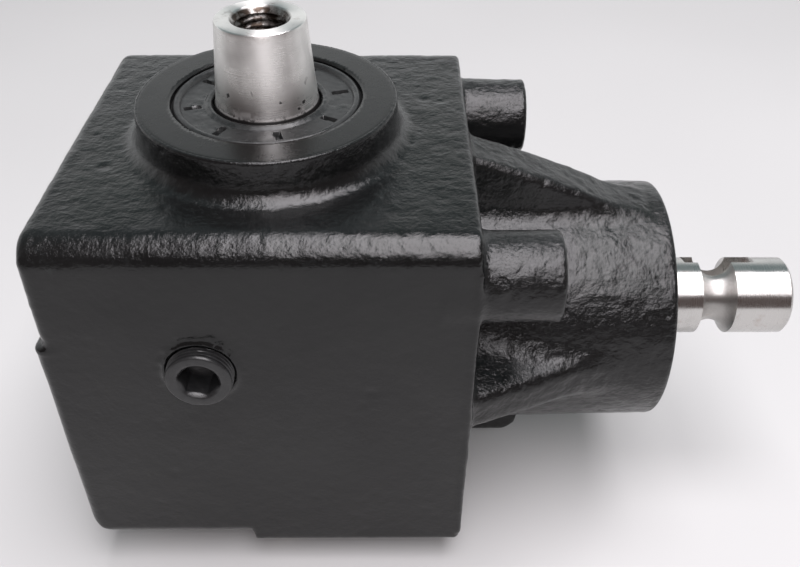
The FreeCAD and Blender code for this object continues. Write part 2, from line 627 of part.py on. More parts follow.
# --------------------------------------------------------------------------- shafts
def make_output_shaft():
    body = revolve([(0, OS_Z_BOT), (OS_R_LOW - 1, OS_Z_BOT), (OS_R_LOW, OS_Z_BOT + 1), (OS_R_LOW, OS_Z_GEAR),
                    (OS_R_GEAR, OS_Z_GEAR), (OS_R_GEAR, OS_Z_MID), (OS_R_MID, OS_Z_MID), (OS_R_MID, OS_Z_BRG),
                    (OS_R_TOP, OS_Z_BRG), (OS_R_TOP, TAPER_Z0 - 0.9), (TAPER_R0, TAPER_Z0),
                    (TAPER_R1 + 0.03, TAPER_Z1 - 0.4), (TAPER_R1 - 0.4, TAPER_Z1), (0, TAPER_Z1)])
    tap = revolve([(0, TAPER_Z1 - OS_TAP_L - 4), (OS_TAP_R, TAPER_Z1 - OS_TAP_L), (OS_TAP_R, TAPER_Z1 - 1.6),
                   (OS_TAP_R + 1.6, TAPER_Z1), (OS_TAP_R + 1.6, TAPER_Z1 + 1), (0, TAPER_Z1 + 1)])
    keyseat = slot_box(8.0, 20.0, 4.0 + 1.0)
    # seat on the +Y side, floor 4 mm below the surface
    keyseat = place_slot(keyseat, (0, OS_R_GEAR - 4.0, (OS_Z_GEAR + OS_Z_MID) / 2))
    return one(body.cut([tap, keyseat]))


def slot_box(w, length, h):
    """Round-ended key shape: width along X, length along Z, height along +Y from 0."""
    r = w / 2
    a = Part.LineSegment(V(-r, 0, -length / 2 + r), V(-r, 0, length / 2 - r)).toShape()
    b = Part.Arc(V(-r, 0, length / 2 - r), V(0, 0, length / 2), V(r, 0, length / 2 - r)).toShape()
    c = Part.LineSegment(V(r, 0, length / 2 - r), V(r, 0, -length / 2 + r)).toShape()
    d = Part.Arc(V(r, 0, -length / 2 + r), V(0, 0, -length / 2), V(-r, 0, -length / 2 + r)).toShape()
    return Part.Face(Part.Wire([a, b, c, d])).extrude(V(0, h, 0))


def place_slot(shape, at):
    s = shape.copy()
    s.translate(V(*at))
    return s


def make_gear_key():
    # 8 x 7 x 20 round-ended key, half in the shaft and half in the gear
    return place_slot(slot_box(8.0, 20.0, 6.9), (0, OS_R_GEAR - 4.0, (OS_Z_GEAR + OS_Z_MID) / 2))


PIN_KEY_L = 20.0
PIN_KEY_X = 37.5


def make_pinion_key():
    s = slot_box(6.0, PIN_KEY_L, 5.8)
    s.translate(V(0, IS_R_PIN - 3.5, 0))
    m = FreeCAD.Matrix(0, 0, 1, 0, 0, 1, 0, 0, -1, 0, 0, 0, 0, 0, 0, 1)
    s.Placement = FreeCAD.Placement(m).multiply(s.Placement)
    s.translate(V(PIN_KEY_X, 0, H_IN))
    return s


def make_input_shaft():
    rg = (GROOVE_W ** 2 / 4 + GROOVE_D ** 2) / (2 * GROOVE_D)
    x0, x1 = GROOVE_X - GROOVE_W / 2, GROOVE_X + GROOVE_W / 2
    body = revolve([(0, IS_X0), (IS_R_PIN - 0.6, IS_X0), (IS_R_PIN, IS_X0 + 0.5), (IS_R_PIN, 19.7), (9.3, 19.7), (9.3, 20.95),
                    (IS_R_PIN, 20.95), (IS_R_PIN, IS_X_PIN), (IS_R_BRG, IS_X_PIN), (IS_R_BRG, IS_X_COL0), (IS_R_COL, IS_X_COL0),
                    (IS_R_COL, IS_X_COL1), (IS_R_BRG, IS_X_COL1), (IS_R_BRG, IS_X_STEP - 1.0), (IS_R_BRG - 1.0, IS_X_STEP),
                    (IS_R, IS_X_STEP), (IS_R, x0), ("arc", (IS_R - GROOVE_D, GROOVE_X), (IS_R, x1)),
                    (IS_R, IS_X1 - 1.0), (IS_R - 1.0, IS_X1), (0, IS_X1)])
    body = place(body, (0, 0, H_IN), (1, 0, 0))
    # Woodruff keyseat: a disc cut square to the shaft
    disc = Part.makeCylinder(KEY_CUT_R, KEY_W, V(0, -KEY_W / 2, 0), V(0, 1, 0))
    disc.translate(V(KEY_X, 0, IS_R - KEY_DEPTH + KEY_CUT_R))
    disc.rotate(V(0, 0, 0), V(1, 0, 0), -KEY_ROT)
    disc.translate(V(0, 0, H_IN))
    # seat for the pinion's key
    seat = slot_box(6.0, PIN_KEY_L, 6.0)
    seat.translate(V(0, IS_R_PIN - 3.5, 0))
    m = FreeCAD.Matrix(0, 0, 1, 0, 0, 1, 0, 0, -1, 0, 0, 0, 0, 0, 0, 1)
    seat.Placement = FreeCAD.Placement(m).multiply(seat.Placement)
    seat.translate(V(PIN_KEY_X, 0, H_IN))
    return one(body.cut([disc, seat]))


# --------------------------------------------------------------------------- assembly
def build():
    out = {}
    out["housing"] = make_housing()
    out["bottom_cover"] = make_cover()
    out["cover_gasket"] = make_gasket()
    out["cover_bolts"] = make_cover_bolts()
    out["cover_bolt_washers"] = make_washers()
    out["oil_plug"] = make_plug()

    sets = {
        "upper": (BRG_UP, (0, 0, UP_CUP_BACK), (0, 0, -1), 0.5),
        "lower": (BRG_LOW, (0, 0, LOW_CUP_BACK), (0, 0, 1), 0.51),
        "inner": (BRG_IN, (IN_CUP_BACK, 0, H_IN), (1, 0, 0), 0.5),
        "outer": (BRG_IN, (OUT_CUP_BACK, 0, H_IN), (-1, 0, 0), 0.5),
    }
    for name, (spec, at, direction, frac) in sets.items():
        cup, cone, rollers, cage = taper_bearing(spec, frac)
        out[name + "_bearing_cup"] = place(cup, at, direction)
        out[name + "_bearing_cone"] = place(cone, at, direction)
        out[name + "_bearing_rollers"] = place(rollers, at, direction)
        out[name + "_bearing_cage"] = place(cage, at, direction)

    seal, spring = shaft_seal(BRG_UP[1], 2 * OS_R_TOP, drains=8)
    out["output_seal"] = place(seal, (0, 0, OUT_SEAL_Z0), (0, 0, 1))
    out["output_seal_spring"] = place(spring, (0, 0, OUT_SEAL_Z0), (0, 0, 1))
    seal, spring = shaft_seal(BRG_IN[1], 2 * IS_R_BRG)
    # the input seal's lip runs on the 30 mm land just inside the nose's end
    seal = place(seal, (IN_SEAL_X0, 0, H_IN), (1, 0, 0))
    out["input_seal"] = seal
    out["input_seal_spring"] = place(spring, (IN_SEAL_X0, 0, H_IN), (1, 0, 0))

    shim = revolve([(25.5, 0), (BRG_IN[1] / 2, 0), (BRG_IN[1] / 2, 0.5), (25.5, 0.5)])
    out["preload_shim"] = place(shim, (OUT_CUP_BACK, 0, H_IN), (1, 0, 0))
    circlip = ring_with_ears(27.8, 32.6, 2.0, True, 3.4, 7.0)
    circlip = place(circlip, (111.0, 0, H_IN), (1, 0, 0))
    out["bearing_circlip"] = circlip

    out["output_shaft"] = make_output_shaft()
    out["output_gear"] = make_gear()
    out["output_gear_key"] = make_gear_key()
    out["input_shaft"] = make_input_shaft()
    out["input_pinion"] = make_pinion()
    out["pinion_key"] = make_pinion_key()
    ring = ring_with_ears(9.3, 12.6, 1.2, False, 2.0, 16.0)
    out["pinion_snap_ring"] = place(ring, (19.72, 0, H_IN), (1, 0, 0))
    return out


if __name__ == "__main__":
    os.makedirs("parts", exist_ok=True)
    nodes = build()
    for name, shape in nodes.items():
        if not shape.isValid():
            print("INVALID", name)
        shape.exportStep("parts/%s.step" % name)
        bb = shape.BoundBox
        print("%-24s solids %2d vol %9.1f  x %.1f %.1f  y %.1f %.1f  z %.1f %.1f" % (
            name, len(shape.Solids), shape.Volume, bb.XMin, bb.XMax, bb.YMin, bb.YMax, bb.ZMin, bb.ZMax))
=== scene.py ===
import bpy
import json
import math
import numpy as np
from mathutils import Matrix, Vector


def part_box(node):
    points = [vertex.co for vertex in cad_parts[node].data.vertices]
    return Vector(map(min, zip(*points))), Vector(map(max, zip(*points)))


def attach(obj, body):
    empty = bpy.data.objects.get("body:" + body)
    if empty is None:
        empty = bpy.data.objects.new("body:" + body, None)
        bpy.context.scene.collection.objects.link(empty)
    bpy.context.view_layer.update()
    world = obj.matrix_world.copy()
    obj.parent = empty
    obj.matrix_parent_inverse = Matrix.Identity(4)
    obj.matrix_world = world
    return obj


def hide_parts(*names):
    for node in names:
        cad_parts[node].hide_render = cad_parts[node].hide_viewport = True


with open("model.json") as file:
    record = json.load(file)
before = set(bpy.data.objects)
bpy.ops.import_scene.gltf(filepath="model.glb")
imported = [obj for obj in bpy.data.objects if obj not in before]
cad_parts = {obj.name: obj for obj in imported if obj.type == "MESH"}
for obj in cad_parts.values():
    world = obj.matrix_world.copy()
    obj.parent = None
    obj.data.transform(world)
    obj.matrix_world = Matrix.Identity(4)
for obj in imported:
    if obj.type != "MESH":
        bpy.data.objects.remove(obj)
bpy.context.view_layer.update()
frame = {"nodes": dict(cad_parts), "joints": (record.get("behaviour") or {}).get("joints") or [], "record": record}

MM = 0.001
NODES = frame["nodes"]
SCENE = bpy.context.scene


def box_mm(node):
    lo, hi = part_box(node)
    return np.array(lo) / MM, np.array(hi) / MM


# ---------------------------------------------------------------------------
# places that come from the CAD frame (mm)
# ---------------------------------------------------------------------------
JOINTS = {j["name"]: j for j in frame["joints"]}
H = JOINTS["input_spin"]["pos_m"][2] / MM          # height of the input axis
H_LO, H_HI = box_mm("housing")
SH_LO, SH_HI = box_mm("output_shaft")
IN_LO, IN_HI = box_mm("input_shaft")
SEAL_LO, SEAL_HI = box_mm("output_seal")
PLUG_LO, PLUG_HI = box_mm("oil_plug")
COV_LO, COV_HI = box_mm("bottom_cover")

BOX_HX, BOX_HY = 58.8, 58.4
BOX_DRAFT = 1.1
BOX_Z0 = H_LO[2]
BOX_Z1 = H + 62.5
BOSS_Z = H_HI[2]
NOSE_X = H_HI[0]

# ---------------------------------------------------------------------------
# camera: the view the object is seen from
# ---------------------------------------------------------------------------
CAM = dict(f=916.1, tilt=38.65, pan=0.96, roll=-0.55, pos=(34.6, -239.0, 196.1 + H))


def make_camera():
    t, p, r = (math.radians(CAM[k]) for k in ("tilt", "pan", "roll"))
    fwd = np.array([math.sin(p) * math.cos(t), math.cos(p) * math.cos(t), -math.sin(t)])
    right = np.array([math.cos(p), -math.sin(p), 0.0])
    down = np.cross(fwd, right)
    cx = math.cos(r) * right + math.sin(r) * down
    cy = -math.sin(r) * right + math.cos(r) * down
    data = bpy.data.cameras.new("camera")
    data.sensor_fit = "HORIZONTAL"
    data.sensor_width = 36.0
    data.lens = CAM["f"] / 800.0 * 36.0
    data.clip_start, data.clip_end = 0.01, 20.0
    cam = bpy.data.objects.new("camera", data)
    SCENE.collection.objects.link(cam)
    m = Matrix.Identity(4)
    for i in range(3):
        m[i][0], m[i][1], m[i][2] = cx[i], -cy[i], -fwd[i]
        m[i][3] = CAM["pos"][i] * MM
    cam.matrix_world = m
    SCENE.camera = cam
    return cam


make_camera()


# ---------------------------------------------------------------------------
# small numeric tools
# ---------------------------------------------------------------------------
_rng = np.random.RandomState(7)
_perm = _rng.permutation(256).astype(np.int32)
_perm = np.concatenate([_perm, _perm, _perm])
_grad = _rng.normal(size=(256, 3)).astype(np.float32)
_grad /= np.linalg.norm(_grad, axis=1, keepdims=True)


def gnoise(P, scale, seed=0):
    """Gradient noise, about -1..1, of points P in mm with the given wavelength."""
    q = P / scale + seed * 17.13
    i = np.floor(q).astype(np.int64)
    f = (q - i).astype(np.float32)
    u = f * f * f * (f * (f * 6 - 15) + 10)
    i = (i & 255).astype(np.int32)
    out = 0.0
    for dx in (0, 1):
        wx = u[:, 0] if dx else 1 - u[:, 0]
        for dy in (0, 1):
            wy = u[:, 1] if dy else 1 - u[:, 1]
            for dz in (0, 1):
                wz = u[:, 2] if dz else 1 - u[:, 2]
                h = _perm[_perm[_perm[(i[:, 0] + dx) & 255] + ((i[:, 1] + dy) & 255)] + ((i[:, 2] + dz) & 255)] & 255
                g = _grad[h]
                d = g[:, 0] * (f[:, 0] - dx) + g[:, 1] * (f[:, 1] - dy) + g[:, 2] * (f[:, 2] - dz)
                out = out + d * wx * wy * wz
    return out * 1.6


def smooth01(x, a, b):
    t = np.clip((x - a) / (b - a), 0, 1)
    return t * t * (3 - 2 * t)


def r_int(a, b, r):
    """Crossing of two distance fields, its edge rounded by r."""
    return np.minimum(np.maximum(a + r, b + r), 0) + np.sqrt(np.maximum(a + r, 0) ** 2 + np.maximum(b + r, 0) ** 2) - r


def r_uni(a, b, r):
    """Union of two distance fields with a fillet of radius r."""
    return np.maximum(np.minimum(a, b), r) - np.sqrt(np.maximum(r - a, 0) ** 2 + np.maximum(r - b, 0) ** 2)


def r_sub(a, b, r):
    """a less b, the edge rounded by r."""
    return r_int(a, -b, r)


# ---------------------------------------------------------------------------
# the casting as one distance field (mm): box, boss, nose, ribs, lugs, less its bores and its room
# ---------------------------------------------------------------------------
LUG_Y, LUG_R, LUG_X = 45.0, 12.4, 81.0
LUG_Z = H + 43.4
NOSE_DROP = 0.7
PART_Z = H + 28.5
PLUG_X, PLUG_Z = (PLUG_LO[0] + PLUG_HI[0]) / 2, (PLUG_LO[2] + PLUG_HI[2]) / 2
# height of the crest at the wall, X where it runs out, half width at the crest, growth per mm down, rounding
RIBS = ((59.3, 108.5, 7.9, 0.10, 2.4), (56.2, 99.0, 5.6, 0.40, 2.2), (57.3, 99.0, 5.6, 0.40, 2.2), (57.3, 99.0, 5.6, 0.40, 2.2))


def casting(P):
    x, y, z = P[..., 0], P[..., 1], P[..., 2]
    zz = z - H
    d_at = (BOX_Z1 - z) * (BOX_DRAFT / (BOX_Z1 - BOX_Z0))
    # the left wall runs in towards the back, and stands out below the mould's parting line
    skew = (y + BOX_HY) * (3.4 / (2 * BOX_HY)) - 2.3 * smooth01(PART_Z - z, -0.9, 0.9)
    ax = np.where(x > 0, x, -x + skew) - (BOX_HX - d_at)
    ay = np.abs(y) - (BOX_HY - d_at)
    r_side = np.where(x > 0, 2.0, 3.4)
    side = r_int(ax, ay, r_side)
    # the front and back top edges are well rounded; the left and right ones are nearly sharp
    d = r_int(ay, z - BOX_Z1, 8.5)
    d = r_int(d, ax, np.where(x > 0, 1.8, 3.0))
    d = np.maximum(d, side)
    # the bottom left edges step back over the left part of the front
    left = smooth01(-x, 7.6, 9.6)
    cut = (-(y + BOX_HY) * 0.72 - (z - BOX_Z0) * 0.69 + 4.6)
    d = r_int(d, cut - (1 - left) * 5.4, 1.3)
    cut2 = (-(x + BOX_HX + 1.6) * 0.80 - (z - BOX_Z0) * 0.60 + 5.9)
    d = r_int(d, cut2, 1.6)
    d = r_int(d, BOX_Z0 - z, 1.6)
    # a low mould flash along the right upright edge and the right top edge
    d = np.minimum(d, np.sqrt((x - BOX_HX + 0.9 + d_at) ** 2 + (y + BOX_HY - 0.9 - d_at) ** 2 + np.maximum(z - BOX_Z1 + 9, 0) ** 2 + np.maximum(BOX_Z0 + 4.0 - z, 0) ** 2) - 1.25)
    # output boss
    rz = np.sqrt(x * x + y * y)
    boss = r_int(rz - (37.25 + (BOSS_Z - z) * 0.07), z - BOSS_Z, 0.55)
    d = r_uni(d, np.maximum(boss, (H + 40) - z), 4.8)
    # nose
    rx = np.sqrt(y * y + zz * zz)
    rn = np.sqrt(y * y + (zz + NOSE_DROP) ** 2)
    nose = r_int(rn - (38.85 + (NOSE_X - x) * 0.017), x - NOSE_X, 1.1)
    nose = np.maximum(nose, 40 - x)
    # ribs
    ribs = None
    for k, (rad, lat, sgn) in enumerate(((zz, y, 1), (zz, y, -1), (y, zz, 1), (y, zz, -1))):
        tall, end, half, grow, rr = RIBS[k]
        s = (tall - 39.0) / (end - 55.0)
        rr_ = rad * sgn
        crest = tall - s * (x - 55.0) + (1.1 * np.sin(math.pi * np.clip((x - 57.0) / 50.0, 0, 1)) if k == 0 else 0.0)
        up = (rr_ - crest) / math.sqrt(1 + s * s)
        wide = (np.abs(lat) - (half + grow * (crest - rr_))) / math.sqrt(1 + grow * grow)
        wide = np.maximum(wide, np.abs(lat) - (half + grow * (tall - 40.0)))
        one = r_int(r_int(wide, up, rr), x - (end + 6.0), 2.0)
        one = np.maximum(one, 30 - rr_)
        one = np.maximum(one, 57.0 - x)
        ribs = one if ribs is None else np.minimum(ribs, one)
    nose = r_uni(nose, ribs, 4.0)
    # square lug under the nose
    foot = r_int(np.abs(y) - 10.0, BOX_Z0 - z, 2.5)
    corner = r_int(x - LUG_X, BOX_Z0 - z, 8.5)
    foot = np.maximum(np.maximum(foot, corner), z - (H - 31))
    foot = np.maximum(foot, 50 - x)
    nose = r_uni(nose, foot, 3.0)
    # round lugs
    lug = None
    for s in (-1, 1):
        rl = np.sqrt((y - s * LUG_Y) ** 2 + (z - LUG_Z) ** 2)
        one = r_int(rl - (LUG_R + (LUG_X - x) * 0.012), x - LUG_X, 1.0)
        one = np.maximum(one, 50 - x)
        lug = one if lug is None else np.minimum(lug, one)
    nose = r_uni(nose, lug, 2.6)
    d = r_uni(d, nose, 2.2)
    # a collar of thick paint round the oil plug
    rp = np.sqrt((x - PLUG_X) ** 2 + (z - PLUG_Z) ** 2)
    collar = np.sqrt((rp - 9.9) ** 2 + (y + BOX_HY - 0.3) ** 2) - 0.75
    d = r_uni(d, collar, 0.7)
    # countersink of the tapped hole
    d = np.maximum(d, -np.maximum(rp - (9.5 - np.maximum(y + BOX_HY, 0)), -(60.5 + y)))
    # room inside
    room = r_int(np.abs(x) - (BOX_HX - 8), np.abs(y) - (BOX_HY - 8), 8.0)
    room = r_int(room, z - (BOX_Z1 - 8), 2.0)
    room = r_int(room, (BOX_Z0 + 12) - z, 2.0)
    room = np.maximum(room, -np.maximum(rz - 35.0, (H + 43.0) - z))
    d = np.maximum(d, -room)
    # bores
    bore = np.maximum(rz - 27.5, (H + 42) - z)
    ledge = np.maximum(np.abs(z - (H + 63.9)) - 2.4, 24.5 - rz)
    bore = np.maximum(bore, -ledge)
    d = np.maximum(d, -bore)
    d = np.maximum(d, -np.maximum(np.maximum(rz - 38.4, (BOX_Z0 - 3) - z), z - (BOX_Z0 + 13)))
    nb = np.where(x < 59.25, rx - 28.6, rx - 31.0)
    d = np.maximum(d, -np.maximum(nb, (BOX_HX - 10) - x))
    for s in (-1, 1):
        rl = np.sqrt((y - s * LUG_Y) ** 2 + (z - LUG_Z) ** 2)
        d = np.maximum(d, -np.maximum(rl - (5.1 + np.clip(x - (LUG_X - 1.2), 0, 1.2)), (LUG_X - 25) - x))
    d = np.maximum(d, -np.maximum(rp - 8.2, y + BOX_HY - 12))
    return d


def surface_nets(fn, lo, hi, h):
    """Closed quad mesh of the zero level of fn over a grid of step h."""
    n = np.ceil((np.array(hi) - np.array(lo)) / h).astype(int) + 1
    xs = [(lo[k] + h * np.arange(n[k])).astype(np.float32) for k in range(3)]
    f = np.empty(tuple(n), np.float32)
    for i in range(0, n[0], 24):
        X, Y, Z = np.meshgrid(xs[0][i:i + 24], xs[1], xs[2], indexing="ij")
        f[i:i + 24] = fn(np.stack([X, Y, Z], axis=-1))
    s = f < 0
    cnt = np.zeros(tuple(n - 1), np.uint8)
    for dx in (0, 1):
        for dy in (0, 1):
            for dz in (0, 1):
                cnt += s[dx:n[0] - 1 + dx, dy:n[1] - 1 + dy, dz:n[2] - 1 + dz]
    act = (cnt > 0) & (cnt < 8)
    ci = np.argwhere(act)
    idx = np.full(act.shape, -1, np.int64)
    idx[act] = np.arange(len(ci))
    acc = np.zeros((len(ci), 3))
    num = np.zeros(len(ci))
    corners = [(a, b, c) for a in (0, 1) for b in (0, 1) for c in (0, 1)]
    for a in corners:
        for k in range(3):
            if a[k]:
                continue
            b = list(a)
            b[k] = 1
            fa = f[ci[:, 0] + a[0], ci[:, 1] + a[1], ci[:, 2] + a[2]]
            fb = f[ci[:, 0] + b[0], ci[:, 1] + b[1], ci[:, 2] + b[2]]
            m = (fa < 0) != (fb < 0)
            t = np.zeros(len(ci))
            t[m] = fa[m] / (fa[m] - fb[m])
            pos = np.array(a, float)[None].repeat(len(ci), 0)
            pos[:, k] += t
            acc[m] += pos[m]
            num[m] += 1
    verts = np.array(lo)[None] + h * (ci + acc / num[:, None])
    quads = []
    for k in range(3):
        o = [0, 1, 2]
        o.remove(k)
        u, v = o
        sl = [slice(1, n[0] - 1), slice(1, n[1] - 1), slice(1, n[2] - 1)]
        sa, sb = list(sl), list(sl)
        sa[k], sb[k] = slice(0, n[k] - 1), slice(1, n[k])
        A, B = s[tuple(sa)], s[tuple(sb)]
        e = np.argwhere(A != B)
        base = e.copy()
        base[:, u] += 1
        base[:, v] += 1
        flip = A[e[:, 0], e[:, 1], e[:, 2]]

        def cell(du, dv):
            c = base.copy()
            c[:, u] += du
            c[:, v] += dv
            return idx[c[:, 0], c[:, 1], c[:, 2]]
        q = np.stack([cell(-1, -1), cell(0, -1), cell(0, 0), cell(-1, 0)], axis=1)
        if k == 1:
            q = q[:, ::-1]
        q[~flip] = q[~flip][:, ::-1]
        quads.append(q)
    quads = np.concatenate(quads)
    quads = quads[(quads >= 0).all(axis=1)]
    return verts, quads


def gradient(fn, P, e=0.05):
    g = np.empty_like(P)
    for k in range(3):
        d = np.zeros(3)
        d[k] = e
        g[:, k] = (fn(P + d) - fn(P - d)) / (2 * e)
    return g


def settle(fn, P, rounds=3):
    for _ in range(rounds):
        g = gradient(fn, P)
        n2 = np.maximum((g * g).sum(axis=1), 0.25)
        step = fn(P) / n2
        P = P - g * np.clip(step, -0.6, 0.6)[:, None]
    return P


def mesh_object(name, verts_mm, faces, smooth=True):
    """A mesh object from arrays in mm; faces an (n,4) or (n,3) array, or a list of index lists."""
    me = bpy.data.meshes.new(name)
    v = (np.asarray(verts_mm, np.float64) * MM).astype(np.float32)
    if isinstance(faces, np.ndarray):
        nf, k = faces.shape
        me.vertices.add(len(v))
        me.vertices.foreach_set("co", v.ravel())
        me.loops.add(nf * k)
        me.loops.foreach_set("vertex_index", faces.astype(np.int32).ravel())
        me.polygons.add(nf)
        me.polygons.foreach_set("loop_start", (np.arange(nf) * k).astype(np.int32))
        me.polygons.foreach_set("loop_total", np.full(nf, k, np.int32))
        me.update(calc_edges=True)
        me.validate()
    else:
        me.from_pydata([tuple(p) for p in v], [], [tuple(int(i) for i in f) for f in faces])
        me.update()
    me.polygons.foreach_set("use_smooth", np.full(len(me.polygons), smooth))
    ob = bpy.data.objects.new(name, me)
    SCENE.collection.objects.link(ob)
    return ob


def make_housing():
    step = 0.85
    lo = (-63.5, -62.0, BOX_Z0 - 2.5)
    hi = (NOSE_X + 2.5, 62.0, BOSS_Z + 2.5)
    P, Q = surface_nets(casting, lo, hi, step)
    P = settle(casting, P, 3)
    x, y, z = P[:, 0], P[:, 1], P[:, 2]
    rz = np.hypot(x, y)
    rx = np.hypot(y, z - H)
    # crisp machined edges: vertices beside an edge circle are put on it
    m = np.hypot(rz - 27.5, z - BOSS_Z) < 0.44
    P[m, 0] *= 27.5 / rz[m]
    P[m, 1] *= 27.5 / rz[m]
    P[m, 2] = BOSS_Z
    # cast skin: waves, lumps and pits, none of it on machined faces or inside
    n = gradient(casting, P)
    n /= np.maximum(np.linalg.norm(n, axis=1, keepdims=True), 1e-6)
    x, y, z = P[:, 0], P[:, 1], P[:, 2]
    rz = np.hypot(x, y)
    rx = np.hypot(y, z - H)
    rough = np.ones(len(P))
    rough *= 1 - (1 - smooth01(np.abs(z - BOSS_Z), 0.3, 1.6)) * (rz < 39)
    rough *= 1 - (1 - smooth01(np.abs(x - NOSE_X), 0.2, 1.4))
    rough *= smooth01(np.abs(z - BOX_Z0), 0.2, 1.5)
    inside = (np.maximum(np.maximum(np.abs(x), np.abs(y)) - 51.6, np.maximum(z - (BOX_Z1 - 6.5), (BOX_Z0 + 10) - z)) < 0)
    inside |= (rx < 32.5) & (x > 45)
    inside |= (rz < 28.5) & (z > H)
    inside |= (rz < 38.8) & (z < H)
    rough[inside] = 0
    for s in (-1, 1):
        rl = np.hypot(y - s * LUG_Y, z - LUG_Z)
        rough[(rl < 6.9) & (x > 55)] = 0
        rough[(np.abs(x - LUG_X) < 0.4) & (rl < LUG_R)] *= 0.25
    rp = np.hypot(x - PLUG_X, z - PLUG_Z)
    rough[(rp < 9.6) & (y < -45)] = 0
    nose = smooth01(x, 56.0, 60.0)
    top = smooth01(z, BOX_Z1 - 9.0, BOX_Z1 - 4.0)
    grit = 0.30 + 0.85 * nose + 0.40 * top * (1 - nose)
    dsp = 0.16 * gnoise(P, 31.0, 1) + 0.10 * gnoise(P, 12.0, 2)
    dsp += grit * (0.100 * gnoise(P, 5.6, 3) + 0.120 * gnoise(P, 2.9, 4))
    pits = gnoise(P, 3.8, 5)
    dsp -= grit * 0.22 * smooth01(pits, 0.36, 0.80)
    # one larger pit on the nose, and a few on the walls
    for px, py, pz, pr, pd in ((77.0, -41.0, H + 3.0, 1.5, 0.5), (91.0, -36.0, H + 19.5, 1.6, 0.55), (30.0, -58.4, H + 12.0, 1.4, 0.35),
                               (-30.0, -58.4, H - 22.0, 1.7, 0.30), (12.0, -58.4, H - 34.0, 1.2, 0.30), (-44.0, -20.0, BOX_Z1, 1.4, 0.35),
                               (46.0, 20.0, BOX_Z1, 1.5, 0.35), (103.0, -33.0, H - 21.0, 1.3, 0.4)):
        q = ((x - px) ** 2 + (y - py) ** 2 + (z - pz) ** 2) / pr ** 2
        dsp -= pd * np.exp(-q)
    # pouring flash and knocks along the left front edge
    fl = np.exp(-((z - (PART_Z - 1.2)) / 1.0) ** 2) + 0.6 * np.exp(-((z - (H + 43)) / 1.1) ** 2) - 0.7 * np.exp(-((z - (PART_Z + 2.6)) / 1.6) ** 2)
    corner = np.exp(-((x + BOX_HX) / 4.5) ** 2) * np.exp(-((y + BOX_HY) / 4.0) ** 2)
    dsp += 0.25 * fl * corner
    # lumpy collar round the plug
    dsp += 0.42 * np.exp(-((rp - 11.2) / 1.9) ** 2) * (y < -50) * (0.35 + 0.65 * smooth01(z, PLUG_Z - 4.0, PLUG_Z + 6.0)) * (gnoise(P, 1.9, 6) + 0.2)
    P = P + n * (dsp * rough)[:, None]
    ob = mesh_object("housing_casting", P, Q)
    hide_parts("housing")
    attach(ob, "gearcase")
    return ob


housing = make_housing()


# ---------------------------------------------------------------------------
# turned pieces: rows of points round an axis
# ---------------------------------------------------------------------------
def ring_mesh(name, R, Z, A, to_frame, body, node, smooth=True, crease=35.0):
    """R, Z, A are (rows, segments) arrays of radius, height and angle; the first and last rows close on the axis."""
    n, m = R.shape
    V = np.stack([R * np.cos(A), R * np.sin(A), Z], axis=-1).reshape(-1, 3)
    i = np.arange(n * m).reshape(n, m)
    a, b = i[:-1], i[1:]
    F = np.stack([a, np.roll(a, -1, axis=1), np.roll(b, -1, axis=1), b], axis=-1).reshape(-1, 4)
    V = np.vstack([V, [[0, 0, Z[0].mean()], [0, 0, Z[-1].mean()]]])
    faces = [tuple(f) for f in F]
    for j in range(m):
        faces.append((n * m, i[0, (j + 1) % m], i[0, j]))
        faces.append((n * m + 1, i[-1, j], i[-1, (j + 1) % m]))
    ob = mesh_object(name, to_frame(V), faces, smooth)
    me = ob.data
    me.set_sharp_from_angle(angle=math.radians(crease))
    if node:
        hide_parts(node)
    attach(ob, body)
    return ob


def rows_of(profile, m):
    p = np.array(profile, float)
    A = np.linspace(0, 2 * math.pi, m, endpoint=False)[None, :].repeat(len(p), 0)
    return p[:, :1].repeat(m, 1), p[:, 1:2].repeat(m, 1), A


def fine(profile, gap):
    """Adds rows so that no step along the profile is longer than gap."""
    out = [profile[0]]
    for a, b in zip(profile[:-1], profile[1:]):
        k = max(1, int(math.ceil(math.hypot(b[0] - a[0], b[1] - a[1]) / gap)))
        for j in range(1, k + 1):
            out.append((a[0] + (b[0] - a[0]) * j / k, a[1] + (b[1] - a[1]) * j / k))
    return out


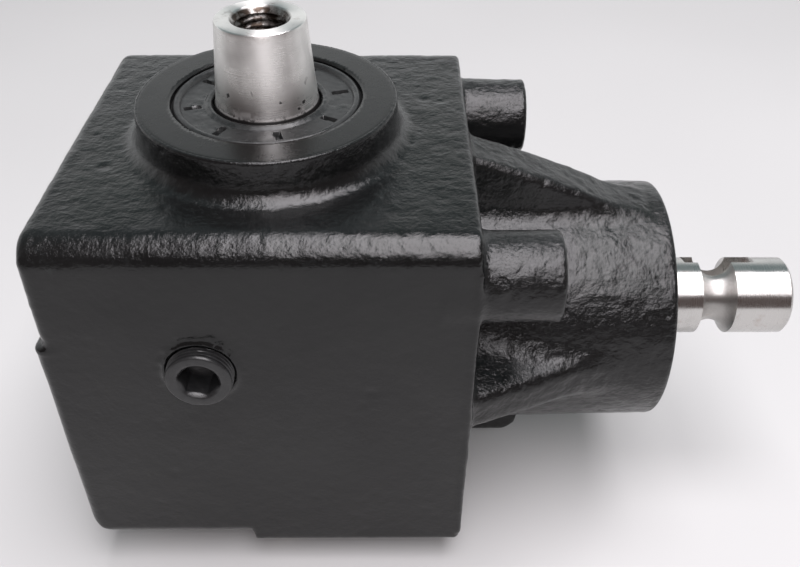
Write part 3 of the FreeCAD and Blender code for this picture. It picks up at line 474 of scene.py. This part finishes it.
def make_output_shaft():
    top = SH_HI[2]
    m = 144
    outer = [(11.5, SH_LO[2]), (12.5, SH_LO[2] + 1), (12.5, 21.75), (15.0, 21.75)] + fine([(15.0, 22.0), (15.0, H - 15.5)], 2.0)[0:]
    outer += [(17.0, H - 15.5), (17.0, H + 44.5), (15.0, H + 44.5), (15.0, H + 72.8), (14.62, H + 73.7)]
    taper = fine([(14.60, H + 73.9), (12.68, top - 0.55)], 0.9)
    rim = [(12.56, top - 0.22), (12.30, top - 0.05), (12.05, top), (8.75, top), (8.45, top - 0.12), (7.15, top - 1.55)]
    pitch = 2.0
    thread = fine([(7.0, top - 1.7), (7.0, top - 20.0)], 0.20)
    low = [(7.0, top - 22.0), (6.9, top - 23.0), (0.3, top - 26.9)]
    prof = outer + taper + rim + thread + low
    R, Z, A = rows_of(prof, m)
    n0 = len(outer) + len(taper) + len(rim)
    k = slice(n0, n0 + len(thread))
    ph = (Z[k] / pitch + A[k] / (2 * math.pi)) % 1.0
    groove = np.clip(1.0 - np.abs(ph - 0.5) * 2.6, 0, 1)
    fade = smooth01(top - 1.7 - Z[k], 0.0, 0.8)
    R[k] = 7.0 + 0.98 * groove * fade + 0.02
    # nicks on the rim, and a hand-blunt edge
    q = np.stack([R * np.cos(A), R * np.sin(A), Z], axis=-1).reshape(-1, 3)
    nick = smooth01(gnoise(q, 2.3, 11), 0.35, 0.8).reshape(R.shape)
    near = np.exp(-((Z - top) / 0.5) ** 2) * (R > 11.5)
    Z = Z - 0.22 * nick * near
    # the seat of the gear's key, on the +Y side
    seat_z0, seat_z1 = (21.75 + H - 15.5) / 2 - 10.0, (21.75 + H - 15.5) / 2 + 10.0
    flat = (Z > seat_z0) & (Z < seat_z1) & (np.abs(R - 15.0) < 0.01)
    c = np.cos(A - math.pi / 2)
    lim = 11.0 / np.maximum(c, 0.2)
    inseat = flat & (c > 0) & (np.abs(15.0 * np.sin(A - math.pi / 2)) < 4.1)
    R = np.where(inseat, np.minimum(R, lim), R)
    return ring_mesh("taper_shaft", R, Z, A, lambda v: v, "output_rotor", "output_shaft", crease=28.0)


def make_seal():
    face = SEAL_HI[2]
    m = 288
    r_i = 15.05
    prof = [(r_i + 0.02, face - 3.7), (r_i + 1.0, face - 1.9), (r_i + 0.55, face - 1.0), (r_i + 0.75, face - 0.55), (r_i + 1.2, face - 0.22),
            (r_i + 1.8, face - 0.18), (r_i + 2.3, face - 0.42), (r_i + 2.75, face - 0.85), (r_i + 3.1, face - 0.95)]
    flat = fine([(18.4, face - 0.95), (24.2, face - 0.95)], 0.24)
    n1 = len(prof)
    prof = prof + flat + [(24.45, face - 0.95), (24.7, face - 0.45), (25.0, face - 0.08), (25.4, face + 0.12), (26.0, face + 0.12), (26.5, face - 0.10),
                          (26.75, face - 0.6), (26.95, face - 1.6), (27.5, face - 1.9), (27.5, face - 6.4), (26.9, face - 7.0), (24.0, face - 7.0),
                          (23.7, face - 3.2), (16.9, face - 3.2), (18.1, face - 4.4), (18.0, face - 5.6), (15.9, face - 5.4), (r_i + 0.02, face - 3.72)]
    R, Z, A = rows_of(prof, m)
    k = slice(n1, n1 + len(flat))
    deep = np.zeros_like(R[k])
    for i in range(8):
        a0 = math.radians(13.5 + 45.0 * i)
        da = (A[k] - a0 + math.pi) % (2 * math.pi) - math.pi
        u = R[k] * np.cos(da)
        v = R[k] * np.sin(da)
        q = np.maximum(np.abs(u - 21.2) - 2.3, np.abs(v) - 0.78)
        deep = np.maximum(deep, smooth01(-q, -0.10, 0.12) * (np.cos(da) > 0))
    Z[k] -= 1.7 * deep
    q = np.stack([R * np.cos(A), R * np.sin(A), Z], axis=-1).reshape(-1, 3)
    # mould lines, scuffs and swarf-like crumbs in the paint film
    lift = (0.05 * gnoise(q, 3.5, 21) + 0.05 * gnoise(q, 1.3, 22)).reshape(R.shape)
    up = (Z > face - 1.3)
    Z = Z + lift * up
    n, mm_ = R.shape
    V = np.stack([R * np.cos(A), R * np.sin(A), Z], axis=-1).reshape(-1, 3)
    i = np.arange(n * mm_).reshape(n, mm_)
    b = np.roll(i, -1, axis=0)
    F = np.stack([i, np.roll(i, -1, axis=1), np.roll(b, -1, axis=1), b], axis=-1).reshape(-1, 4)
    ob = mesh_object("lip_seal", V, F[:, ::-1].copy())
    ob.data.set_sharp_from_angle(angle=math.radians(50))
    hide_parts("output_seal")
    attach(ob, "gearcase")
    return ob


def make_plug():
    tip, end = PLUG_LO[1], PLUG_HI[1]
    L = end - tip
    m = 144
    pitch = 1.25
    back = [(7.4, L), (8.2, L - 0.8)]
    thread = fine([(8.3, L - 0.9), (8.3, 1.2)], 0.10)
    face = [(9.05, 0.95), (9.0, 0.42), (8.75, 0.14), (8.3, 0.0), (6.9, 0.0), (6.3, 0.05), (6.0, 0.22), (5.4, 1.1)]
    sock = fine([(5.0, 1.5), (5.0, 8.0)], 0.8) + [(3.6, 8.3), (0.25, 10.3)]
    prof = back + thread + face + sock
    R, Z, A = rows_of(prof, m)
    k = slice(len(back), len(back) + len(thread))
    ph = (Z[k] / pitch - A[k] / (2 * math.pi)) % 1.0
    crest = np.clip(1.30 - np.abs(ph - 0.5) * 3.0, 0, 1)
    fade = 0.35 + 0.65 * smooth01(Z[k], 1.1, 1.5)
    R[k] = 8.25 + 0.98 * crest * fade
    R[k] = np.where(Z[k] > -tip - BOX_HY + 0.55, np.minimum(R[k], 8.12), R[k])
    # hex socket: its wall follows the flats, the mouth blends from round to hex
    n0 = len(back) + len(thread) + len(face)
    hexr = 5.0 / np.cos(((A - math.radians(12.0)) % (math.pi / 3)) - math.pi / 6)
    w = np.zeros(len(prof))
    w[n0 - 1] = 0.6
    w[n0:n0 + len(sock) - 2] = 1.0
    R = np.where(w[:, None] > 0, R * (1 - w[:, None]) + hexr * w[:, None], R)
    q = np.stack([R * np.cos(A), R * np.sin(A), Z], axis=-1).reshape(-1, 3)
    lump = gnoise(q, 2.6, 31).reshape(R.shape)
    Z = Z + 0.06 * lump * (Z < 0.5) * (R > 5.9)

    def to_frame(v):
        # local +z runs into the wall (+Y)
        return np.stack([PLUG_X + v[:, 0], tip + v[:, 2], PLUG_Z - v[:, 1]], axis=1)
    ob = ring_mesh("socket_plug", R, Z, A, to_frame, "gearcase", "oil_plug", crease=40.0)
    return ob


taper_shaft = make_output_shaft()
lip_seal = make_seal()
socket_plug = make_plug()


# ---------------------------------------------------------------------------
# materials
# ---------------------------------------------------------------------------
class Mat:
    """A node material with short calls for the nodes it needs."""

    def __init__(self, name):
        self.m = bpy.data.materials.new(name)
        self.m.use_nodes = True
        self.t = self.m.node_tree
        self.b = self.t.nodes["Principled BSDF"]
        self.co = self.t.nodes.new("ShaderNodeTexCoord").outputs["Object"]

    def set(self, **kw):
        names = {"rough": "Roughness", "metal": "Metallic", "base": "Base Color", "spec": "Specular IOR Level", "coat": "Coat Weight",
                 "coat_rough": "Coat Roughness", "sheen": "Sheen Weight", "ior": "IOR", "aniso": "Anisotropic"}
        for k, v in kw.items():
            self.b.inputs[names[k]].default_value = (*v, 1.0) if k == "base" else v
        return self

    def link(self, a, b):
        self.t.links.new(a, b)

    def noise(self, scale_mm, detail=3.0, rough=0.55, vec=None, distort=0.0):
        n = self.t.nodes.new("ShaderNodeTexNoise")
        n.inputs["Scale"].default_value = 1.0 / (scale_mm * MM)
        n.inputs["Detail"].default_value = detail
        n.inputs["Roughness"].default_value = rough
        n.inputs["Distortion"].default_value = distort
        self.link(vec or self.co, n.inputs["Vector"])
        return n.outputs["Fac"]

    def voronoi(self, scale_mm, vec=None, out="Distance", feature="F1"):
        n = self.t.nodes.new("ShaderNodeTexVoronoi")
        n.feature = feature
        n.inputs["Scale"].default_value = 1.0 / (scale_mm * MM)
        self.link(vec or self.co, n.inputs["Vector"])
        return n.outputs[out]

    def ramp(self, fac, stops):
        n = self.t.nodes.new("ShaderNodeValToRGB")
        r = n.color_ramp
        while len(r.elements) < len(stops):
            r.elements.new(0.5)
        for e, (p, c) in zip(r.elements, stops):
            e.position = p
            e.color = (c, c, c, 1) if not isinstance(c, tuple) else (*c, 1)
        self.link(fac, n.inputs["Fac"])
        return n.outputs["Color"]

    def math(self, op, a, b=0.0, c=None):
        n = self.t.nodes.new("ShaderNodeMath")
        n.operation = op
        for i, v in enumerate((a, b) if c is None else (a, b, c)):
            if hasattr(v, "is_linked") or hasattr(v, "links"):
                self.link(v, n.inputs[i])
            else:
                n.inputs[i].default_value = v
        return n.outputs[0]

    def mix(self, fac, a, b):
        n = self.t.nodes.new("ShaderNodeMix")
        n.data_type = "RGBA"
        n.clamp_factor = True
        for key, v in ((0, fac), (6, a), (7, b)):
            s = n.inputs[key]
            if hasattr(v, "links"):
                self.link(v, s)
            elif key == 0:
                s.default_value = v
            else:
                s.default_value = (*v, 1)
        return n.outputs[2]

    def remap(self, v, a, b, c, d):
        n = self.t.nodes.new("ShaderNodeMapRange")
        self.link(v, n.inputs["Value"])
        for k, x in (("From Min", a), ("From Max", b), ("To Min", c), ("To Max", d)):
            n.inputs[k].default_value = x
        return n.outputs["Result"]

    def bump(self, height, dist_mm, strength=1.0, normal=None):
        n = self.t.nodes.new("ShaderNodeBump")
        n.inputs["Distance"].default_value = dist_mm * MM
        n.inputs["Strength"].default_value = strength
        self.link(height, n.inputs["Height"])
        if normal is not None:
            self.link(normal, n.inputs["Normal"])
        return n.outputs["Normal"]

    def out(self, **kw):
        names = {"rough": "Roughness", "base": "Base Color", "normal": "Normal", "metal": "Metallic", "coat_normal": "Coat Normal"}
        for k, v in kw.items():
            self.link(v, self.b.inputs[names[k]])
        return self.m


def band(m, axis, centre_mm, half_mm, soft_mm):
    """1 inside a band of one object axis, 0 outside, from the object's own coordinates."""
    s = m.t.nodes.new("ShaderNodeSeparateXYZ")
    m.link(m.co, s.inputs[0])
    d = m.math("ABSOLUTE", m.math("SUBTRACT", s.outputs[axis], centre_mm * MM))
    return m.remap(d, (half_mm - soft_mm) * MM, (half_mm + soft_mm) * MM, 1.0, 0.0)


def paint_material():
    m = Mat("black_enamel_cast").set(base=(0.006, 0.006, 0.006), rough=0.2, spec=0.38)
    wav = m.noise(7.0, 3, 0.5)
    mid = m.noise(3.2, 3, 0.55, distort=0.4)
    fine_ = m.noise(1.15, 4, 0.62)
    grain = m.noise(0.42, 3, 0.6)
    pits = m.remap(m.voronoi(3.4), 0.05, 0.42, 0.0, 1.0)
    # the nose and lugs are coarser than the walls; the machined boss top and nose end are flat
    s = m.t.nodes.new("ShaderNodeSeparateXYZ")
    m.link(m.co, s.inputs[0])
    nose = m.remap(s.outputs[0], 0.057, 0.060, 0.0, 1.0)
    top = m.remap(s.outputs[2], (BOX_Z1 - 8.5) * MM, (BOX_Z1 - 6.0) * MM, 0.0, 1.0)
    rr = m.math("SQRT", m.math("ADD", m.math("MULTIPLY", s.outputs[0], s.outputs[0]), m.math("MULTIPLY", s.outputs[1], s.outputs[1])))
    face = m.math("MULTIPLY", m.remap(s.outputs[2], (BOSS_Z - 0.7) * MM, (BOSS_Z - 0.25) * MM, 0.0, 1.0), m.remap(rr, 0.0364, 0.0370, 1.0, 0.0))
    coarse = m.math("ADD", 0.36, m.math("ADD", m.math("MULTIPLY", nose, 0.75), m.math("MULTIPLY", top, 0.34)))
    coarse = m.math("MULTIPLY", coarse, m.remap(face, 0.0, 1.0, 1.0, 0.10))
    h = m.math("ADD", m.math("MULTIPLY", mid, 0.80), m.math("ADD", m.math("MULTIPLY", fine_, 0.62), m.math("MULTIPLY", grain, 0.16)))
    h = m.math("ADD", h, m.math("MULTIPLY", pits, 0.20))
    h = m.math("MULTIPLY", h, coarse)
    n1 = m.bump(h, 0.33, 1.0)
    n2 = m.bump(m.noise(0.30, 2, 0.5), 0.006, 0.30, n1)
    cloud = m.remap(m.noise(34.0, 3, 0.55), 0.32, 0.68, 0, 1)
    col = m.mix(cloud, (0.0040, 0.0042, 0.0043), (0.0072, 0.0074, 0.0074))
    # teal-grey patches, heavier on the top face: partly real dust, partly a painted reflection of a bluish wall on the
    # top face
    dust_and_reflection = m.math("MULTIPLY", m.remap(m.noise(2.1, 5, 0.7), 0.52, 0.78, 0.0, 1.0), m.remap(m.noise(21.0, 3), 0.42, 0.70, 0.0, 0.55))
    dust_and_reflection = m.math("MULTIPLY", dust_and_reflection, m.math("ADD", 0.25, m.math("MULTIPLY", top, 0.75)))
    # the lighter teal colour of the patches: partly dust, partly painted reflection
    col = m.mix(dust_and_reflection, col, (0.036, 0.041, 0.041))
    col = m.mix(face, col, (0.0055, 0.0055, 0.0053))
    rough = m.remap(wav, 0.25, 0.75, 0.10, 0.17)
    rough = m.math("ADD", rough, m.math("MULTIPLY", dust_and_reflection, 0.22))
    rough = m.math("ADD", rough, m.math("MULTIPLY", face, 0.13))
    return m.out(base=col, rough=rough, normal=n2)


def turned_material(name, axis, centre=(0.0, 0.0), tint=(0.80, 0.785, 0.765), rough0=0.28, rings_mm=0.22):
    """Fine turned steel: rings along the axis, faint scratches across, stains, oil and specks."""
    m = Mat(name).set(base=tint, metal=1.0, rough=rough0)
    s = m.t.nodes.new("ShaderNodeSeparateXYZ")
    m.link(m.co, s.inputs[0])
    a = s.outputs[axis]
    cmb = m.t.nodes.new("ShaderNodeCombineXYZ")
    m.link(m.math("MULTIPLY", a, 1.0 / (rings_mm * MM)), cmb.inputs[0])
    rings = m.t.nodes.new("ShaderNodeTexNoise")
    rings.inputs["Scale"].default_value = 1.0
    rings.inputs["Detail"].default_value = 3.0
    m.link(cmb.outputs[0], rings.inputs["Vector"])
    ring = rings.outputs["Fac"]
    scratch = m.noise(0.9, 5, 0.7)
    stain = m.remap(m.noise(9.0, 4, 0.6), 0.40, 0.72, 0.0, 1.0)
    specks = m.remap(m.noise(1.1, 3, 0.6), 0.70, 0.78, 0.0, 1.0)
    col = m.mix(m.math("MULTIPLY", stain, 0.55), tint, tuple(c * 0.72 for c in tint))
    col = m.mix(m.remap(ring, 0.3, 0.7, 0.0, 0.35), col, tuple(min(1.0, c * 1.18) for c in tint))
    col = m.mix(m.math("MULTIPLY", specks, 0.75), col, (0.10, 0.085, 0.075))
    rough = m.math("ADD", m.remap(ring, 0.25, 0.75, rough0 * 0.75, rough0 * 1.25), m.math("MULTIPLY", stain, 0.10))
    n = m.bump(ring, 0.010, 0.5)
    n = m.bump(scratch, 0.008, 0.30, n)
    tan = m.t.nodes.new("ShaderNodeTangent")
    tan.direction_type = "RADIAL"
    tan.axis = "XYZ"[axis]
    m.link(tan.outputs[0], m.b.inputs["Tangent"])
    m.b.inputs["Anisotropic"].default_value = 0.85
    m.b.inputs["Anisotropic Rotation"].default_value = 0.25
    return m, s, col, rough, n


def output_shaft_material():
    top = SH_HI[2]
    m, s, col, rough, n = turned_material("turned_taper", 2)
    # darker brown and duller inside the tapped hole; oil and black residue where the taper meets the seal
    z = s.outputs[2]
    rr = m.math("SQRT", m.math("ADD", m.math("MULTIPLY", s.outputs[0], s.outputs[0]), m.math("MULTIPLY", s.outputs[1], s.outputs[1])))
    hole = m.math("MULTIPLY", m.remap(rr, 0.0080, 0.0086, 1.0, 0.0), m.remap(m.noise(2.4, 4, 0.6), 0.30, 0.55, 0.35, 1.0))
    col = m.mix(hole, col, (0.052, 0.040, 0.033))
    low = m.remap(z, (H + 73.4) * MM, (H + 76.2) * MM, 1.0, 0.0)
    low = m.math("MULTIPLY", low, m.remap(m.noise(2.6, 4, 0.62), 0.44, 0.58, 0.0, 1.0))
    blob = m.remap(m.noise(3.3, 3, 0.5), 0.64, 0.665, 0.0, 1.0)
    blob = m.math("MULTIPLY", blob, m.remap(z, (H + 80.5) * MM, (H + 84.0) * MM, 1.0, 0.0))
    grime = m.math("MAXIMUM", low, blob)
    neck = m.remap(z, (H + 73.2) * MM, (H + 73.9) * MM, 1.0, 0.0)
    grime = m.math("MAXIMUM", grime, neck)
    col = m.mix(grime, col, (0.012, 0.011, 0.011))
    rust = m.math("MULTIPLY", m.remap(m.noise(4.6, 5, 0.65), 0.56, 0.70, 0.0, 1.0), m.remap(z, (top - 3.0) * MM, (top - 0.3) * MM, 0.0, 0.55))
    col = m.mix(rust, col, (0.20, 0.145, 0.115))
    rough = m.math("ADD", rough, m.math("MULTIPLY", m.math("MAXIMUM", rust, hole), 0.16))
    metal = m.math("SUBTRACT", 1.0, m.math("MULTIPLY", grime, 0.85))
    return m.out(base=col, rough=rough, normal=n, metal=metal)


def input_shaft_material():
    m, s, col, rough, n = turned_material("turned_extension", 0, tint=(0.55, 0.54, 0.525), rough0=0.24, rings_mm=0.18)
    # the groove's floor is duller, cutter-marked, with a thin brown stain
    x = s.outputs[0]
    g = m.remap(m.math("ABSOLUTE", m.math("SUBTRACT", x, 0.1428)), 0.0050, 0.0056, 1.0, 0.0)
    marks = m.noise(0.7, 4, 0.6)
    rr = m.math("ADD", rough, m.math("MULTIPLY", g, 0.16))
    col = m.mix(m.math("MULTIPLY", g, m.remap(marks, 0.3, 0.7, 0.2, 0.6)), col, (0.42, 0.40, 0.38))
    brown = m.remap(m.noise(5.0, 4, 0.6), 0.60, 0.74, 0.0, 0.35)
    col = m.mix(brown, col, (0.30, 0.20, 0.16))
    return m.out(base=col, rough=rr, normal=n)


def rubber_material(name="nitrile_seal", base=(0.013, 0.0135, 0.0135)):
    m = Mat(name).set(base=base, rough=0.38, spec=0.45)
    oil = m.remap(m.noise(6.5, 4, 0.6), 0.42, 0.62, 0.0, 1.0)
    fine_ = m.noise(0.8, 4, 0.6)
    crumbs = m.remap(m.noise(1.3, 4, 0.7), 0.62, 0.72, 0.0, 1.0)
    col = m.mix(m.remap(fine_, 0.3, 0.7, 0.0, 1.0), tuple(c * 0.75 for c in base), tuple(c * 1.5 for c in base))
    col = m.mix(m.math("MULTIPLY", crumbs, 0.6), col, (0.035, 0.037, 0.037))
    rough = m.math("ADD", m.remap(oil, 0.0, 1.0, 0.42, 0.24), m.math("MULTIPLY", crumbs, 0.12))
    h = m.math("ADD", m.math("MULTIPLY", fine_, 0.5), m.math("MULTIPLY", crumbs, 0.6))
    return m.out(base=col, rough=rough, normal=m.bump(h, 0.10, 0.6))


def plug_material():
    m = Mat("blackened_plug").set(base=(0.014, 0.014, 0.0145), rough=0.34, spec=0.5)
    lump = m.noise(2.2, 4, 0.6)
    fine_ = m.noise(0.6, 4, 0.65)
    wear = m.remap(m.noise(1.7, 4, 0.65), 0.60, 0.74, 0.0, 1.0)
    col = m.mix(m.remap(lump, 0.3, 0.7, 0.0, 1.0), (0.009, 0.009, 0.0095), (0.019, 0.0195, 0.020))
    col = m.mix(m.math("MULTIPLY", wear, 0.5), col, (0.045, 0.045, 0.046))
    rough = m.remap(fine_, 0.25, 0.75, 0.26, 0.42)
    h = m.math("ADD", m.math("MULTIPLY", lump, 0.6), m.math("MULTIPLY", fine_, 0.35))
    return m.out(base=col, rough=rough, normal=m.bump(h, 0.16, 0.6))


def metal_material(name, base, dark, rough0, grain_mm=0.6, stain_mm=7.0, bump_mm=0.015, oil=0.0, speck=(0.12, 0.11, 0.10)):
    m = Mat(name).set(base=base, metal=1.0, rough=rough0)
    g = m.noise(grain_mm, 4, 0.62)
    st = m.remap(m.noise(stain_mm, 4, 0.6), 0.36, 0.70, 0.0, 1.0)
    sp = m.remap(m.noise(grain_mm * 2.2, 3, 0.6), 0.66, 0.74, 0.0, 0.6)
    col = m.mix(st, base, dark)
    col = m.mix(sp, col, speck)
    rough = m.math("ADD", m.remap(g, 0.25, 0.75, rough0 * 0.75, rough0 * 1.3), m.math("MULTIPLY", st, 0.10 - oil))
    h = m.math("ADD", m.math("MULTIPLY", g, 0.7), m.math("MULTIPLY", m.noise(grain_mm * 4, 3), 0.5))
    return m.out(base=col, rough=rough, normal=m.bump(h, bump_mm * 2.0, 0.6))


def gasket_material():
    m = Mat("fibre_gasket").set(base=(0.25, 0.21, 0.15), rough=0.85, spec=0.2)
    f = m.noise(0.5, 5, 0.7)
    blot = m.remap(m.noise(5.0, 4, 0.6), 0.4, 0.7, 0.0, 0.7)
    col = m.mix(m.remap(f, 0.3, 0.7, 0.0, 1.0), (0.20, 0.165, 0.11), (0.31, 0.26, 0.19))
    col = m.mix(blot, col, (0.09, 0.07, 0.05))
    return m.out(base=col, rough=m.remap(f, 0.3, 0.7, 0.75, 0.95), normal=m.bump(f, 0.06, 0.6))


paint = paint_material()
steel_out = output_shaft_material()
steel_in = input_shaft_material()
rubber = rubber_material()
plug_mat = plug_material()
SLOTS = {
    "painted_casting": paint,
    "gasket": gasket_material(),
    "plated_steel": metal_material("dull_zinc", (0.50, 0.48, 0.42), (0.36, 0.34, 0.29), 0.38, 0.5, 5.0, 0.02),
    "blackened_steel": plug_mat,
    "bearing_steel": metal_material("ground_bearing_steel", (0.62, 0.62, 0.63), (0.48, 0.47, 0.46), 0.16, 0.25, 9.0, 0.004, oil=0.06),
    "pressed_cage": metal_material("pressed_cage_steel", (0.43, 0.42, 0.40), (0.30, 0.29, 0.27), 0.36, 0.7, 6.0, 0.02),
    "seal_rubber": rubber,
    "spring_steel": metal_material("phosphated_spring", (0.20, 0.20, 0.21), (0.12, 0.12, 0.125), 0.40, 0.4, 4.0, 0.015),
    "turned_steel": steel_in,
    "gear_steel": metal_material("case_hardened_gear", (0.40, 0.395, 0.39), (0.24, 0.225, 0.21), 0.28, 0.5, 8.0, 0.012, oil=0.05),
    "key_steel": metal_material("bright_key_steel", (0.52, 0.51, 0.49), (0.40, 0.38, 0.36), 0.26, 0.35, 5.0, 0.010),
}
SLOT_OF = {s["node"]: s["material_slot"] for s in frame["record"]["subparts"]}
for name, ob in NODES.items():
    ob.data.materials.clear()
    ob.data.materials.append(SLOTS[SLOT_OF[name]])
NODES["output_shaft"].data.materials[0] = steel_out
housing.data.materials.append(paint)
taper_shaft.data.materials.append(steel_out)
lip_seal.data.materials.append(rubber)
socket_plug.data.materials.append(plug_mat)


# ---------------------------------------------------------------------------
# floor and light
# ---------------------------------------------------------------------------
def make_floor():
    n = 24
    s = 1600.0
    g = np.linspace(-s, s, n)
    X, Y = np.meshgrid(g, g, indexing="ij")
    V = np.stack([X.ravel(), Y.ravel(), np.zeros(n * n)], axis=1)
    i = np.arange(n * n).reshape(n, n)
    F = np.stack([i[:-1, :-1], i[1:, :-1], i[1:, 1:], i[:-1, 1:]], axis=-1).reshape(-1, 4)
    ob = mesh_object("floor", V, F)
    m = Mat("pale_board").set(base=(0.80, 0.80, 0.80), rough=0.6, spec=0.3)
    c = m.mix(m.remap(m.noise(300.0, 2), 0.3, 0.7, 0, 1), (0.48, 0.48, 0.476), (0.51, 0.51, 0.506))
    ob.data.materials.append(m.out(base=c, normal=m.bump(m.noise(1.4, 3), 0.02, 0.2)))
    return ob


make_floor()


def area(name, loc, target, size, power, color=(1, 1, 1)):
    d = bpy.data.lights.new(name, "AREA")
    d.shape = "RECTANGLE"
    d.size, d.size_y = size
    d.energy = power
    d.color = color
    o = bpy.data.objects.new(name, d)
    SCENE.collection.objects.link(o)
    o.location = loc
    o.rotation_euler = (Vector(target) - Vector(loc)).to_track_quat("-Z", "Y").to_euler()
    return o


def make_world():
    """Soft room light: bright and slightly blue behind, dark and warm on the camera's side near the horizon."""
    w = bpy.data.worlds.new("studio")
    SCENE.world = w
    w.use_nodes = True
    t = w.node_tree
    bg = t.nodes["Background"]
    co = t.nodes.new("ShaderNodeTexCoord")
    sx = t.nodes.new("ShaderNodeSeparateXYZ")
    t.links.new(co.outputs["Generated"], sx.inputs[0])
    mr = t.nodes.new("ShaderNodeMapRange")
    mr.interpolation_type = "SMOOTHSTEP"
    t.links.new(sx.outputs[1], mr.inputs["Value"])
    for k, v in (("From Min", -0.35), ("From Max", 0.45), ("To Min", 0.0), ("To Max", 1.0)):
        mr.inputs[k].default_value = v
    mx = t.nodes.new("ShaderNodeMix")
    mx.data_type = "RGBA"
    t.links.new(mr.outputs["Result"], mx.inputs[0])
    hz = t.nodes.new("ShaderNodeMapRange")
    hz.interpolation_type = "SMOOTHSTEP"
    t.links.new(sx.outputs[2], hz.inputs["Value"])
    for k, v in (("From Min", 0.42), ("From Max", 0.60), ("To Min", 0.0), ("To Max", 1.0)):
        hz.inputs[k].default_value = v
    back = t.nodes.new("ShaderNodeMix")
    back.data_type = "RGBA"
    t.links.new(hz.outputs["Result"], back.inputs[0])
    back.inputs[6].default_value = (0.93, 0.95, 0.96, 1)
    back.inputs[7].default_value = (0.21, 0.27, 0.28, 1)
    t.links.new(back.outputs[2], mx.inputs[7])
    mx.inputs[6].default_value = (0.140, 0.112, 0.108, 1)
    t.links.new(mx.outputs[2], bg.inputs["Color"])
    bg.inputs["Strength"].default_value = 1.0


make_world()
area("softbox_top", (0.24, -0.66, 1.45), (0.24, -0.66, 0.0), (0.85, 2.25), 54.0, (1.0, 0.965, 1.0))
SCENE.view_settings.view_transform = "Standard"
